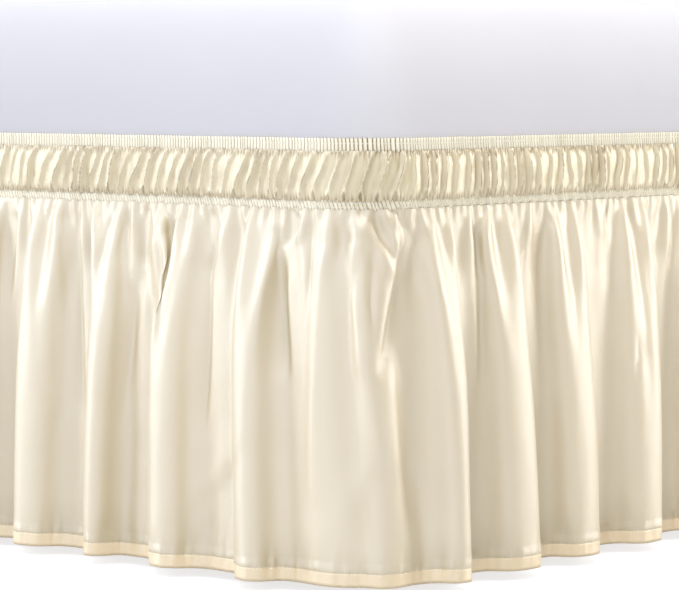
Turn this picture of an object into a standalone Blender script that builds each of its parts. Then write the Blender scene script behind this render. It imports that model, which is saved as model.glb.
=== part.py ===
"""Gathered bed skirt with an elastic ruffled heading, on a plain twin bed.

Units are metres. +Z is up, the bed's length runs along Y and its foot faces -Y. The origin is on
the floor, under the middle of the bed.

Two directions place everything on the sides of the bed. "along" is the distance round the
mattress side, counter-clockwise from above, from the middle of the corner at +X, -Y. "out" is the
distance outwards from the mattress side.
"""

import math
import random
from collections import namedtuple

import bmesh
import bpy

# The mattress and what carries it.
MATTRESS_WIDTH = 0.990
MATTRESS_LENGTH = 1.905
CORNER_RADIUS = 0.060
MATTRESS_TOP = 0.515
MATTRESS_BOTTOM = 0.285
TOP_EDGE_RADIUS = 0.042
BOTTOM_EDGE_RADIUS = 0.018
TOP_EDGE_SAG = 0.007
SAGS_ROUND = 17

BASE_BOTTOM = 0.185
BASE_INSET = 0.010
BASE_EDGE_RADIUS = 0.006

LEG_TOP_RADIUS = 0.030
LEG_FOOT_RADIUS = 0.022
LEG_INSET = 0.130
LEG_SIDES = 16

# The heading: two elastics with a ruffle puffed up between them.
HEADING_TOP = 0.390
TOP_ELASTIC_HEIGHT = 0.012
RUFFLE_HEIGHT = 0.040
LOWER_ELASTIC_HEIGHT = 0.0094
ELASTIC_THICKNESS = 0.003
RUFFLE_PUFFS = 284
PUFF_REACH = 0.0095
PUFF_VALLEY_REACH = 0.0060
PUFF_SHOULDER = 0.28

# The drop: cloth gathered on the lower elastic.
HEM_HEIGHT = 0.008
HEM_DEPTH = 0.012
CLOTH_THICKNESS = 0.0018
HEM_THICKNESS = 0.0026
GATHER_OUT = 0.0045
FOLD_GROWTH = 0.085
FLANK_STEEPNESS = 0.45
DROP_ROW_SHARES = (0.0, 0.11, 0.32, 0.62)
FLANK_SHARES = (0.0, 0.33, 0.67)

# Folds away from the hand-placed ones.
FREE_FOLDS = 50
FOLD_SEED = 11
FREE_WIDTH = (0.78, 1.22)
FREE_LEAN = 0.014
FREE_VALLEY_SHARE = (0.42, 0.60)
FREE_CREST_OUT = (0.032, 0.041)
FREE_VALLEY_OUT = (0.006, 0.010)
CORNER_CREST_OUT = 0.016
CORNER_QUIET = 0.050

# Fits.
PIECE_GAP = 0.0003
BACK_GAP = 0.0006

# How finely round shapes are cut, and the turn above which an edge stays sharp.
CORNER_STEPS = 8
MATTRESS_SIDE_STEP = 0.13
SHARP_TURN = math.radians(40)

# One fold of the drop: where its crest and the valley after it run, along the mattress side at
# the gathered top and at the hem, and how far out each stands at the hem.
Fold = namedtuple("Fold", "crest_top crest_hem crest_out valley_top valley_hem valley_out")

PLACED_FOLDS = (
    Fold(-0.380, -0.387, 0.036, -0.327, -0.337, 0.007),
    Fold(-0.289, -0.294, 0.036, -0.250, -0.272, 0.009),
    Fold(-0.215, -0.205, 0.038, -0.166, -0.165, 0.012),
    Fold(-0.115, -0.099, 0.038, -0.078, -0.070, 0.010),
    Fold(-0.040, -0.022, 0.014, -0.024, -0.006, 0.010),
    Fold(-0.010, 0.0105, 0.017, 0.027, 0.038, 0.013),
    Fold(0.062, 0.069, 0.040, 0.098, 0.098, 0.009),
    Fold(0.148, 0.161, 0.041, 0.186, 0.203, 0.008),
    Fold(0.246, 0.252, 0.038, 0.284, 0.300, 0.007),
    Fold(0.362, 0.353, 0.038, 0.388, 0.396, 0.007),
)

CORNER_ARC = CORNER_RADIUS * math.pi / 2
CORNER_X = MATTRESS_WIDTH / 2 - CORNER_RADIUS
CORNER_Y = MATTRESS_LENGTH / 2 - CORNER_RADIUS

# Each corner's arc centre and the straight side after it, counter-clockwise from +X, -Y.
Corner = namedtuple("Corner", "x y side")

CORNERS = (
    Corner(CORNER_X, -CORNER_Y, 2 * CORNER_Y),
    Corner(CORNER_X, CORNER_Y, 2 * CORNER_X),
    Corner(-CORNER_X, CORNER_Y, 2 * CORNER_Y),
    Corner(-CORNER_X, -CORNER_Y, 2 * CORNER_X),
)

PERIMETER = sum(CORNER_ARC + corner.side for corner in CORNERS)


# ---------------------------------------------------------------- the outline of the mattress side


def outline(along, out=0.0):
    """The (x, y) that lies this far along the mattress side and this far out from it."""
    rest = (along + CORNER_ARC / 2) % PERIMETER
    reach = CORNER_RADIUS + out
    facing = -math.pi / 2
    for corner in CORNERS:
        if rest < CORNER_ARC:
            angle = facing + rest / CORNER_RADIUS
            return corner.x + reach * math.cos(angle), corner.y + reach * math.sin(angle)
        rest -= CORNER_ARC
        facing += math.pi / 2
        across, forward = math.cos(facing), math.sin(facing)
        if rest < corner.side:
            return (
                corner.x + reach * across - rest * forward,
                corner.y + reach * forward + rest * across,
            )
        rest -= corner.side
    raise ValueError("the distance along lies outside the outline")


def corner_starts():
    """The distance along at which each corner's arc starts."""
    starts = []
    along = -CORNER_ARC / 2
    for corner in CORNERS:
        starts.append(along)
        along += CORNER_ARC + corner.side
    return starts


def arc_columns(side_step=None):
    """Distances along: every step of the four arcs and, where asked for, steps along the sides."""
    columns = []
    for start, corner in zip(corner_starts(), CORNERS):
        columns += [start + CORNER_ARC * step / CORNER_STEPS for step in range(CORNER_STEPS + 1)]
        steps = round(corner.side / side_step) if side_step else 1
        side_start = start + CORNER_ARC
        columns += [side_start + corner.side * step / steps for step in range(1, steps)]
    return columns


def corner_distance(along):
    """How far a distance along lies from the middle of the nearest corner."""
    middles = [start + CORNER_ARC / 2 for start in corner_starts()]
    return min(abs((along - middle + PERIMETER / 2) % PERIMETER - PERIMETER / 2) for middle in middles)


# ---------------------------------------------------------------- meshes and materials


def finish(name, colour, roughness, sheen=0.0):
    """A Principled material for one piece."""
    material = bpy.data.materials.new(name)
    material.use_nodes = True
    shader = material.node_tree.nodes["Principled BSDF"]
    shader.inputs["Base Color"].default_value = (*colour, 1.0)
    shader.inputs["Roughness"].default_value = roughness
    shader.inputs["Sheen Weight"].default_value = sheen
    material.diffuse_color = (*colour, 1.0)
    return material


def add_piece(name, points, faces, material):
    """A named object made from points and faces."""
    mesh = bpy.data.meshes.new(name)
    mesh.from_pydata(points, [], faces)
    mesh.materials.append(material)
    mesh.validate()
    mesh.shade_smooth()
    mesh.set_sharp_from_angle(angle=SHARP_TURN)
    piece = bpy.data.objects.new(name, mesh)
    bpy.context.scene.collection.objects.link(piece)
    return piece


def ring_faces(columns, around):
    """Triangles of a closed ring whose sections run down its outer face and up its inner one.

    The inner face is split the other way, so that both faces of a thin ring bend alike.
    """
    faces = []
    for column in range(columns):
        here = column * around
        there = (column + 1) % columns * around
        for low in range(around):
            high = (low + 1) % around
            a, b, c, d = here + low, here + high, there + high, there + low
            if low < around // 2:
                faces += [(a, b, c), (a, c, d)]
            else:
                faces += [(a, b, d), (b, c, d)]
    return faces


def add_band(name, columns, section, material):
    """A ring round the mattress. section(number) gives a column's (out, height) points."""
    points = []
    for number, along in enumerate(columns):
        profile = section(number)
        points += [(*outline(along, out), height) for out, height in profile]
    return add_piece(name, points, ring_faces(len(columns), len(profile)), material)


def add_loft(name, rings, material):
    """A solid through closed rings of equal length, from its bottom face to its top face."""
    count = len(rings[0])
    points = [point for ring in rings for point in ring]
    faces = [tuple(reversed(range(count)))]
    for level in range(len(rings) - 1):
        low, high = level * count, (level + 1) * count
        for number in range(count):
            after = (number + 1) % count
            faces.append((low + number, low + after, high + after, high + number))
    faces.append(tuple(range(count * (len(rings) - 1), count * len(rings))))
    return add_piece(name, points, faces, material)


def rounded_edge(radius, steps):
    """(inset, rise) points of a quarter-round edge, from the vertical side to the flat face."""
    turns = [math.pi / 2 * step / steps for step in range(steps + 1)]
    return [(radius * (1 - math.cos(turn)), radius * math.sin(turn)) for turn in turns]


# ---------------------------------------------------------------- the bed


def add_mattress():
    """The mattress: upright sides where the heading grips it and a soft, slightly uneven top edge."""
    columns = arc_columns(MATTRESS_SIDE_STEP)
    rings = []
    for inset, rise in reversed(rounded_edge(BOTTOM_EDGE_RADIUS, 2)):
        height = MATTRESS_BOTTOM + BOTTOM_EDGE_RADIUS - rise
        rings.append([(*outline(along, -inset), height) for along in columns])
    for inset, rise in rounded_edge(TOP_EDGE_RADIUS, 5):
        ring = []
        for along in columns:
            share = rise / TOP_EDGE_RADIUS
            sag = TOP_EDGE_SAG * math.sin(math.tau * SAGS_ROUND * along / PERIMETER)
            # The sag fades at both ends of the edge, so the top face stays flat.
            sag *= math.sin(math.pi * share)
            height = MATTRESS_TOP - TOP_EDGE_RADIUS + rise - abs(sag)
            ring.append((*outline(along, -inset), height))
        rings.append(ring)
    return add_loft("mattress", rings, finish("mattress cloth", (0.82, 0.82, 0.85), 0.85, 0.2))


def add_base():
    """The plain base under the mattress."""
    columns = arc_columns()
    top = MATTRESS_BOTTOM - PIECE_GAP
    edge = rounded_edge(BASE_EDGE_RADIUS, 2)
    levels = [(inset, BASE_BOTTOM + BASE_EDGE_RADIUS - rise) for inset, rise in reversed(edge)]
    levels += [(inset, top - BASE_EDGE_RADIUS + rise) for inset, rise in edge]
    rings = []
    for inset, height in levels:
        rings.append([(*outline(along, -BASE_INSET - inset), height) for along in columns])
    return add_loft("bed_base", rings, finish("base board", (0.45, 0.32, 0.20), 0.6))


def add_legs():
    """Four turned legs, one near each corner of the base."""
    material = finish("leg wood", (0.33, 0.22, 0.13), 0.5)
    height = BASE_BOTTOM - PIECE_GAP
    reach_x = MATTRESS_WIDTH / 2 - LEG_INSET
    reach_y = MATTRESS_LENGTH / 2 - LEG_INSET
    places = [(x, y) for x in (-reach_x, reach_x) for y in (-reach_y, reach_y)]
    for number, (x, y) in enumerate(places, start=1):
        mesh = bpy.data.meshes.new(f"leg_{number}")
        shape = bmesh.new()
        bmesh.ops.create_cone(
            shape,
            cap_ends=True,
            segments=LEG_SIDES,
            radius1=LEG_FOOT_RADIUS,
            radius2=LEG_TOP_RADIUS,
            depth=height,
        )
        shape.to_mesh(mesh)
        shape.free()
        mesh.materials.append(material)
        mesh.shade_smooth()
        mesh.set_sharp_from_angle(angle=SHARP_TURN)
        leg = bpy.data.objects.new(f"leg_{number}", mesh)
        leg.location = (x, y, height / 2)
        bpy.context.scene.collection.objects.link(leg)


# ---------------------------------------------------------------- the heading


def heading_levels():
    """Heights of the heading's seams, from the top edge to the lower edge of the lower elastic."""
    ruffle_top = HEADING_TOP - TOP_ELASTIC_HEIGHT
    ruffle_bottom = ruffle_top - RUFFLE_HEIGHT
    return HEADING_TOP, ruffle_top, ruffle_bottom, ruffle_bottom - LOWER_ELASTIC_HEIGHT


def add_elastic(name, top, bottom, material):
    """A flat elastic that grips the mattress side between two heights."""
    front = BACK_GAP + ELASTIC_THICKNESS
    profile = [(front, top), (front, bottom), (BACK_GAP, bottom), (BACK_GAP, top)]
    return add_band(name, arc_columns(), lambda number: profile, material)


def add_ruffle(top, bottom, material):
    """The ruffle: upright puffs side by side, drawn in at both elastics."""
    columns = [PERIMETER * number / (2 * RUFFLE_PUFFS) for number in range(2 * RUFFLE_PUFFS)]
    shoulder = (top - bottom) * PUFF_SHOULDER

    def section(number):
        reach = PUFF_REACH if number % 2 == 0 else PUFF_VALLEY_REACH
        upper, lower = top - shoulder, bottom + shoulder
        return [(BACK_GAP, top), (reach, upper), (reach, lower), (BACK_GAP, bottom)]

    return add_band("heading_ruffle", columns, section, material)


def add_heading():
    """Both elastics and the ruffle between them. It returns the height where the drop starts."""
    top, ruffle_top, ruffle_bottom, bottom = heading_levels()
    cream = finish("elastic cloth", (0.86, 0.78, 0.60), 0.5, 0.3)
    puffed = finish("ruffle cloth", (0.90, 0.83, 0.68), 0.4, 0.4)
    add_elastic("elastic_top", top, ruffle_top, cream)
    add_ruffle(ruffle_top - PIECE_GAP, ruffle_bottom, puffed)
    add_elastic("elastic_lower", ruffle_bottom - PIECE_GAP, bottom, cream)
    return bottom - PIECE_GAP


# ---------------------------------------------------------------- the drop


def free_folds():
    """Folds of uneven width round the rest of the bed, quieter at the other three corners."""
    draw = random.Random(FOLD_SEED)
    start = PLACED_FOLDS[-1].crest_hem
    room = PERIMETER + PLACED_FOLDS[0].crest_hem - start
    widths = [draw.uniform(*FREE_WIDTH) for _ in range(FREE_FOLDS + 1)]
    widths = [width * room / sum(widths) for width in widths]
    folds = []
    crest = start
    for width, width_after in zip(widths, widths[1:]):
        crest += width
        lean = draw.uniform(-FREE_LEAN, FREE_LEAN)
        valley = crest + width_after * draw.uniform(*FREE_VALLEY_SHARE)
        crest_out = draw.uniform(*FREE_CREST_OUT)
        if corner_distance(crest) < CORNER_QUIET:
            crest_out = CORNER_CREST_OUT
        valley_out = draw.uniform(*FREE_VALLEY_OUT)
        folds.append(Fold(crest + lean, crest, crest_out, valley + lean / 2, valley, valley_out))
    return folds


def fold_lines():
    """(top, hem, out) of each crest and valley in turn, all the way round."""
    lines = []
    for fold in (*PLACED_FOLDS, *free_folds()):
        lines.append((fold.crest_top, fold.crest_hem, fold.crest_out))
        lines.append((fold.valley_top, fold.valley_hem, fold.valley_out))
    return lines


def height_shares(drop):
    """The cloth's rows, as shares of the drop, with the last two on either side of the hem."""
    return (*DROP_ROW_SHARES, 1 - HEM_DEPTH / drop, 1.0)


def fold_column(line, next_line, share, drop):
    """(along, out) at each height share of the drop, for a place on the flank between two lines."""
    steep = share + FLANK_STEEPNESS * math.sin(math.tau * share) / math.tau
    rise = (1 - math.cos(math.pi * share)) / 2
    full_growth = 1 - math.exp(-drop / FOLD_GROWTH)
    column = []
    for height_share in height_shares(drop):
        start = line[0] + (line[1] - line[0]) * height_share
        end = next_line[0] + (next_line[1] - next_line[0]) * height_share
        growth = (1 - math.exp(-drop * height_share / FOLD_GROWTH)) / full_growth
        out = line[2] + (next_line[2] - line[2]) * rise
        column.append((start + (end - start) * steep, GATHER_OUT + (out - GATHER_OUT) * growth))
    return column


def inward_steps(row):
    """For each point of a closed curve seen from above, a unit step square to it, inwards."""
    steps = []
    for number, _ in enumerate(row):
        before, after = row[number - 1], row[(number + 1) % len(row)]
        run_x, run_y = after[0] - before[0], after[1] - before[1]
        length = math.hypot(run_x, run_y)
        steps.append((-run_y / length, run_x / length))
    return steps


def add_drop(top):
    """The gathered drop: one sheet that is thicker where its hem is turned up."""
    drop = top - HEM_HEIGHT
    lines = fold_lines()
    first_top, first_hem, first_out = lines[0]
    ends = lines[1:] + [(first_top + PERIMETER, first_hem + PERIMETER, first_out)]
    columns = []
    for line, next_line in zip(lines, ends):
        columns += [fold_column(line, next_line, share, drop) for share in FLANK_SHARES]
    shares = height_shares(drop)
    outer, inner = [], []
    for level, share in enumerate(shares):
        height = top - drop * share
        thickness = HEM_THICKNESS if level == len(shares) - 1 else CLOTH_THICKNESS
        row = [outline(*column[level]) for column in columns]
        outer.append([(x, y, height) for x, y in row])
        moves = zip(row, inward_steps(row))
        inner.append([(x + dx * thickness, y + dy * thickness, height) for (x, y), (dx, dy) in moves])
    points = []
    for number in range(len(columns)):
        points += [row[number] for row in outer]
        points += [row[number] for row in reversed(inner)]
    faces = ring_faces(len(columns), 2 * len(shares))
    satin = finish("satin cloth", (0.90, 0.82, 0.68), 0.35, 0.5)
    return add_piece("skirt_drop", points, faces, satin)


def main():
    """Clears the scene and builds the bed and its skirt."""
    for leftover in list(bpy.data.objects):
        bpy.data.objects.remove(leftover, do_unlink=True)
    add_mattress()
    add_base()
    add_legs()
    drop_top = add_heading()
    add_drop(drop_top)


main()
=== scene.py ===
"""A gathered bed skirt on a plain single bed, dressed for a studio picture.

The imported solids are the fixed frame. The mattress, the heading and the drop are finer meshes that
stand for their solids, and the base and its legs keep their solids and get finishes.

Everything is in metres. "along" is the distance round the mattress side, counter-clockwise from
above, from the middle of the corner at +X, -Y, and "out" is the distance outwards from that side.
"""

import logging
import math
import random
from collections.abc import Callable, Sequence
from dataclasses import dataclass, field
from enum import Enum

import bpy
import numpy as np
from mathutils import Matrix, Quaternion, Vector


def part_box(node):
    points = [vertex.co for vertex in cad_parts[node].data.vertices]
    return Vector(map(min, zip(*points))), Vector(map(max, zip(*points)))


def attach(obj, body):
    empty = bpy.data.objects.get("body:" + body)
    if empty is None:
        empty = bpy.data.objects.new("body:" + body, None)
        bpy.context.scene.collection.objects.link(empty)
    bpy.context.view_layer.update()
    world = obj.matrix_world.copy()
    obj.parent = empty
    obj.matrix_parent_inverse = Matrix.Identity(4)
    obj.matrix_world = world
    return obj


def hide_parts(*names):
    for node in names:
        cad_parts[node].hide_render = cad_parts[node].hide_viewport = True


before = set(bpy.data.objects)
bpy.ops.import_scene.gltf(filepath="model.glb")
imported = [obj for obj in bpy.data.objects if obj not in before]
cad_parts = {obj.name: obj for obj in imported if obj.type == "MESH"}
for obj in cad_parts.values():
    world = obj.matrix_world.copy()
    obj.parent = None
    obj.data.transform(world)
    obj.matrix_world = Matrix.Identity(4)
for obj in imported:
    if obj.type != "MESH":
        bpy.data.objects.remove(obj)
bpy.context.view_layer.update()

BODY = "root"
# How closely a ring and a drop are looked at when their columns and rows are spaced.
RING_SPOTS = 20001
DROP_SPOTS = 4001
# How far it takes the fine columns to widen into the coarse ones.
WIDENING_LENGTH = 0.20

log = logging.getLogger("bed_skirt")


class Slot(Enum):
    """The material slots that the record names."""

    SATIN = "satin"
    ELASTIC = "elastic"
    MATTRESS = "mattress_cloth"
    BASE = "base_board"
    LEG = "leg_wood"


# ------------------------------------------------------------------ places round the bed


@dataclass(frozen=True)
class MattressSide:
    """The upright side of the mattress, seen from above: a rectangle with round corners."""

    half_width: float
    half_length: float
    radius: float = 0.060

    @classmethod
    def from_frame(cls) -> "MattressSide":
        """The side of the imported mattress."""
        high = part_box("mattress")[1]
        return cls(high.x, high.y)

    @property
    def corner(self) -> tuple[float, float]:
        """The centre of the corner arc at +X, +Y."""
        return self.half_width - self.radius, self.half_length - self.radius

    @property
    def arc(self) -> float:
        """The length of one corner arc."""
        return self.radius * math.pi / 2

    @property
    def perimeter(self) -> float:
        """The length of the whole outline."""
        return 4 * (self.arc + sum(self.corner))

    def stations(self) -> list[tuple[float, float, float, float]]:
        """Each corner's start along the outline, arc centre and straight side after it."""
        x, y = self.corner
        places = ((x, -y, 2 * y), (x, y, 2 * x), (-x, y, 2 * y), (-x, -y, 2 * x))
        found, along = [], -self.arc / 2
        for centre_x, centre_y, side in places:
            found.append((along, centre_x, centre_y, side))
            along += self.arc + side
        return found

    def place(self, along: np.ndarray, out: np.ndarray | float = 0.0) -> np.ndarray:
        """The points at these distances along the outline and out from it.

        Args:
            along: distances round the outline, of any shape.
            out: distances out, of a shape that fits.

        Returns:
            The (x, y) points, in an array with one more axis.
        """
        along, out = np.broadcast_arrays(np.asarray(along, float), np.asarray(out, float))
        points = np.zeros((*along.shape, 2))
        for turn, (start, centre_x, centre_y, side) in enumerate(self.stations()):
            rest = (along - start) % self.perimeter
            inside = rest < self.arc + side
            facing = (turn - 1) * math.pi / 2 + np.minimum(rest / self.radius, math.pi / 2)
            forward = np.maximum(rest - self.arc, 0.0)
            x = centre_x + (self.radius + out) * np.cos(facing) - forward * np.sin(facing)
            y = centre_y + (self.radius + out) * np.sin(facing) + forward * np.cos(facing)
            points[inside] = np.stack([x, y], axis=-1)[inside]
        return points

    def row(
        self,
        along: np.ndarray,
        out: np.ndarray | float,
        height: np.ndarray | float,
    ) -> np.ndarray:
        """A row of points.

        Args:
            along: distances round the outline.
            out: distances out from it.
            height: heights above the floor.

        Returns:
            The (n, 3) points.
        """
        return np.column_stack([self.place(along, out), np.broadcast_to(height, along.shape)])

    def corner_distance(self, along: float) -> float:
        """How far this distance along lies from the middle of the nearest corner."""
        half = self.perimeter / 2
        middles = [start + self.arc / 2 for start, *_ in self.stations()]
        return min(abs((along - middle + half) % self.perimeter - half) for middle in middles)

    def chart(self, points: np.ndarray) -> np.ndarray:
        """The signed distances along the outline of points outside it, from minus to plus half of it.

        Args:
            points: (..., 3) points outside the mattress.

        Returns:
            A distance along for each point, 0 at the middle of the corner at +X, -Y.
        """
        x, y = points[..., 0], points[..., 1]
        core_x, core_y = self.corner
        right = np.arctan2(y - np.clip(y, -core_y, core_y), x - np.clip(x, -core_x, core_x))
        turned = (right + math.pi / 2) % math.tau
        quarter = math.pi / 2
        passed = np.select(
            [
                np.isclose(turned, 0) | np.isclose(turned, math.tau),
                np.isclose(turned, quarter),
                np.isclose(turned, 2 * quarter),
                np.isclose(turned, 3 * quarter),
                turned < quarter,
                turned < 2 * quarter,
                turned < 3 * quarter,
            ],
            [
                x - core_x,
                y + core_y,
                2 * core_y + core_x - x,
                3 * core_y + 2 * core_x - y,
                0 * x,
                0 * x + 2 * core_y,
                0 * x + 2 * (core_y + core_x),
            ],
            4 * core_y + 2 * core_x,
        )
        turned = np.where(np.isclose(turned, math.tau), 0.0, turned)
        half = self.perimeter / 2
        return (passed + turned * self.radius - self.arc / 2 + half) % self.perimeter - half

    def push_out(self, points: np.ndarray, least: np.ndarray | float) -> None:
        """Moves points that lie less than a distance out from the side onto that distance.

        Args:
            points: (..., 3) points, changed in place.
            least: the least distance out, of a shape that fits.
        """
        core = np.array(self.corner, points.dtype)
        beyond = np.abs(points[..., :2]) - core
        away = np.maximum(beyond, 0.0)
        length = np.sqrt(away[..., 0] ** 2 + away[..., 1] ** 2)
        out = length + np.minimum(beyond.max(axis=-1), 0.0) - self.radius
        short = np.maximum(least - out, 0.0)
        unit = away / np.maximum(length, 1e-6)[..., None] * np.sign(points[..., :2])
        points[..., :2] += unit * short[..., None]


# ------------------------------------------------------------------ cloth that settles


@dataclass
class ClothRing:
    """A ring of cloth as rows and columns of points, settled in many small steps.

    Each step lets the points drift and fall a little, bends the cloth straighter, and then pulls
    every thread back to its length, so the cloth buckles into folds and is not stretched.
    """

    points: np.ndarray
    across: np.ndarray
    down: np.ndarray
    pinned: Sequence[int]
    heavy_rows: int
    home: np.ndarray
    home_hold: np.ndarray
    heavy_by: float = 2.0
    fall: float = 4.5e-7
    bend_length: float = 0.015
    most_bend: float = 0.06
    shear_hold: float = 0.03
    drag: float = 0.985
    bias_every: int = 3
    clear_every: int = 2
    loose: np.ndarray = field(init=False)
    bend_across: np.ndarray = field(init=False)
    bend_down: np.ndarray = field(init=False)

    def __post_init__(self) -> None:
        """Works out how freely each point moves and how hard each thread bends."""
        self.points = self.points.astype(np.float32)
        self.across = self.across.astype(np.float32)
        self.down = self.down.astype(np.float32)
        rows = self.points.shape[0]
        self.loose = np.ones((rows, 1, 1), np.float32)
        self.loose[-self.heavy_rows :] = 1 / self.heavy_by
        self.loose[list(self.pinned)] = 0.0
        stiffness = self.fall * self.bend_length**3
        around = (self.across + np.roll(self.across, 1, 1)) / 2
        self.bend_across = np.minimum(stiffness / around**4, self.most_bend)[..., None]
        # Spread over the columns, so that both powers are worked out on large arrays in the same way.
        along = np.repeat((self.down[1:] + self.down[:-1])[:, None] / 2, self.across.shape[1], 1)
        self.bend_down = np.minimum(stiffness / along**4, self.most_bend)[..., None]

    @staticmethod
    def _pull(
        a: np.ndarray,
        b: np.ndarray,
        loose_a: np.ndarray,
        loose_b: np.ndarray,
        rest: np.ndarray,
        hold: float = 1.0,
    ) -> None:
        """Moves two sets of points together or apart until their threads have their length.

        Args:
            a: the threads' first points, changed in place.
            b: the threads' second points, changed in place.
            loose_a: how freely the first points move.
            loose_b: how freely the second points move.
            rest: the threads' lengths.
            hold: the share of the error that is mended.
        """
        reach = b - a
        square = reach * reach
        length = np.sqrt(square[..., 0] + square[..., 1] + square[..., 2])[..., None]
        share = hold * (length - rest) / (length * (loose_a + loose_b) + 1e-9)
        reach *= share
        a += loose_a * reach
        b -= loose_b * reach

    def _hold_threads(self) -> None:
        """Pulls the threads that run round the ring and down it to their length."""
        p, loose = self.points, self.loose
        rest = self.across[..., None]
        self._pull(p[:, 0::2], p[:, 1::2], loose, loose, rest[:, 0::2])
        self._pull(p[:, 1:-1:2], p[:, 2::2], loose, loose, rest[:, 1:-1:2])
        self._pull(p[:, -1:], p[:, :1], loose, loose, rest[:, -1:])
        fall = self.down[:, None, None]
        for start in (0, 1):
            upper, lower = p[start:-1:2], p[start + 1 :: 2]
            free_upper, free_lower = loose[start:-1:2], loose[start + 1 :: 2]
            self._pull(upper, lower, free_upper, free_lower, fall[start::2])

    def _hold_bias(self) -> None:
        """Holds the diagonals softly, as woven cloth does."""
        p, loose = self.points, self.loose
        across = (self.across[1:, :-1] + self.across[:-1, :-1]) / 2
        rest = np.hypot(across, self.down[:, None])[..., None]
        for start in (0, 1):
            upper, lower = slice(start, -1, 2), slice(start + 1, None, 2)
            long = rest[start::2]
            free_upper, free_lower = loose[upper], loose[lower]
            left, right = slice(0, -1), slice(1, None)
            hold = self.shear_hold
            self._pull(p[upper, left], p[lower, right], free_upper, free_lower, long, hold)
            self._pull(p[upper, right], p[lower, left], free_upper, free_lower, long, hold)

    def _bend(self) -> np.ndarray:
        """How far the cloth's own stiffness moves each point in one step."""
        p = self.points
        round_ring = np.roll(p, 1, 1) + np.roll(p, -1, 1) - 2 * p
        round_ring *= self.bend_across
        move = 2 * round_ring - np.roll(round_ring, 1, 1) - np.roll(round_ring, -1, 1)
        downwards = (p[:-2] + p[2:] - 2 * p[1:-1]) * self.bend_down
        move[1:-1] += 2 * downwards
        move[:-2] -= downwards
        move[2:] -= downwards
        return move

    def settle(self, steps: int, keep_out: Callable[[np.ndarray], None]) -> None:
        """Lets the cloth hang until it is still.

        Args:
            steps: how many small steps to take.
            keep_out: pushes points out of what the cloth may not enter.
        """
        speed = np.zeros_like(self.points)
        freed = (self.loose > 0).astype(np.float32)
        for step in range(steps):
            before = self.points.copy()
            speed[..., 2] -= self.fall
            self.points += freed * (speed + self._bend())
            self.points += freed * (self.home - self.points) * self.home_hold
            self._hold_threads()
            if step % self.bias_every == 0:
                self._hold_bias()
            if step % self.clear_every == 0:
                keep_out(self.points)
            speed = (self.points - before) * self.drag
        keep_out(self.points)


# ------------------------------------------------------------------ meshes


def lay_flat(mesh: bpy.types.Mesh, flat: np.ndarray) -> None:
    """Keeps each point's place on the flat cloth as a UV map, with the ring's join at the far side.

    Args:
        mesh: the mesh.
        flat: (n, 2) places in metres, the first of them counted round the ring from its start.
    """
    corners = np.zeros(len(mesh.loops), np.int32)
    mesh.loops.foreach_get("vertex_index", corners)
    starts = np.zeros(len(mesh.polygons), np.int32)
    totals = np.zeros(len(mesh.polygons), np.int32)
    mesh.polygons.foreach_get("loop_start", starts)
    mesh.polygons.foreach_get("loop_total", totals)
    length = flat[:, 0].max()
    places = flat[corners].copy()
    places[:, 0] = (places[:, 0] + length / 2) % length
    furthest = np.maximum.reduceat(places[:, 0], starts).repeat(totals)
    places[:, 0] += length * (furthest - places[:, 0] > length / 2)
    layer = mesh.uv_layers.new(name="flat")
    layer.data.foreach_set("uv", places.astype(np.float32).ravel())


def make_piece(
    name: str,
    points: np.ndarray,
    faces: np.ndarray | Sequence[Sequence[int]],
    material: bpy.types.Material,
    flat: np.ndarray | None = None,
) -> bpy.types.Object:
    """A smooth-shaded piece that rides on the bed.

    Args:
        name: the piece's name.
        points: (n, 3) points.
        faces: point numbers of each face.
        material: its finish.
        flat: (n, 2) places on the flat cloth in metres, kept as a UV map.

    Returns:
        The new object.
    """
    mesh = bpy.data.meshes.new(name)
    mesh.from_pydata(points.reshape(-1, 3).tolist(), [], list(faces))
    if flat is not None:
        lay_flat(mesh, flat)
    mesh.materials.append(material)
    mesh.shade_smooth()
    piece = bpy.data.objects.new(name, mesh)
    bpy.context.scene.collection.objects.link(piece)
    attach(piece, BODY)
    log.info("%s: %d triangles", name, len(mesh.loops) - 2 * len(mesh.polygons))
    return piece


def ring_quads(rows: int, columns: int) -> np.ndarray:
    """Faces of a ring of rows and columns, its outer side to the right of the rows' run.

    Args:
        rows: how many rows of points, from top to bottom.
        columns: how many points in each row.

    Returns:
        The (n, 4) point numbers.
    """
    here = np.arange(rows - 1)[:, None] * columns
    below = here + columns
    column = np.arange(columns)[None, :]
    after = (column + 1) % columns
    return np.stack([here + column, below + column, below + after, here + after], -1).reshape(-1, 4)


def flat_places(along: np.ndarray, up: np.ndarray) -> np.ndarray:
    """The place of each point on the flat cloth.

    Args:
        along: the columns' places along the cloth.
        up: the rows' heights, or the height of each point.

    Returns:
        The (n, 2) places, row by row.
    """
    up = up[:, None] if up.ndim == 1 else up
    return np.stack(np.broadcast_arrays(along[None, :], up), -1).reshape(-1, 2)


def smooth_step(share: np.ndarray | float) -> np.ndarray | float:
    """A soft ramp from 0 to 1 over shares from 0 to 1."""
    share = np.clip(share, 0.0, 1.0)
    return share * share * (3 - 2 * share)


def soft_noise(draw: np.random.Generator, at: np.ndarray, pitch: float, length: float) -> np.ndarray:
    """Smooth random values from -1 to 1 round a ring.

    Args:
        draw: the random source.
        at: places round the ring, in metres.
        pitch: how far apart the random knots lie.
        length: the length of the ring.

    Returns:
        A value for each place.
    """
    knots = max(4, round(length / pitch))
    values = draw.uniform(-1, 1, knots)
    place = (at % length) / length * knots
    low = np.floor(place).astype(int)
    share = smooth_step(place - low)
    return values[low % knots] * (1 - share) + values[(low + 1) % knots] * share


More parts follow.
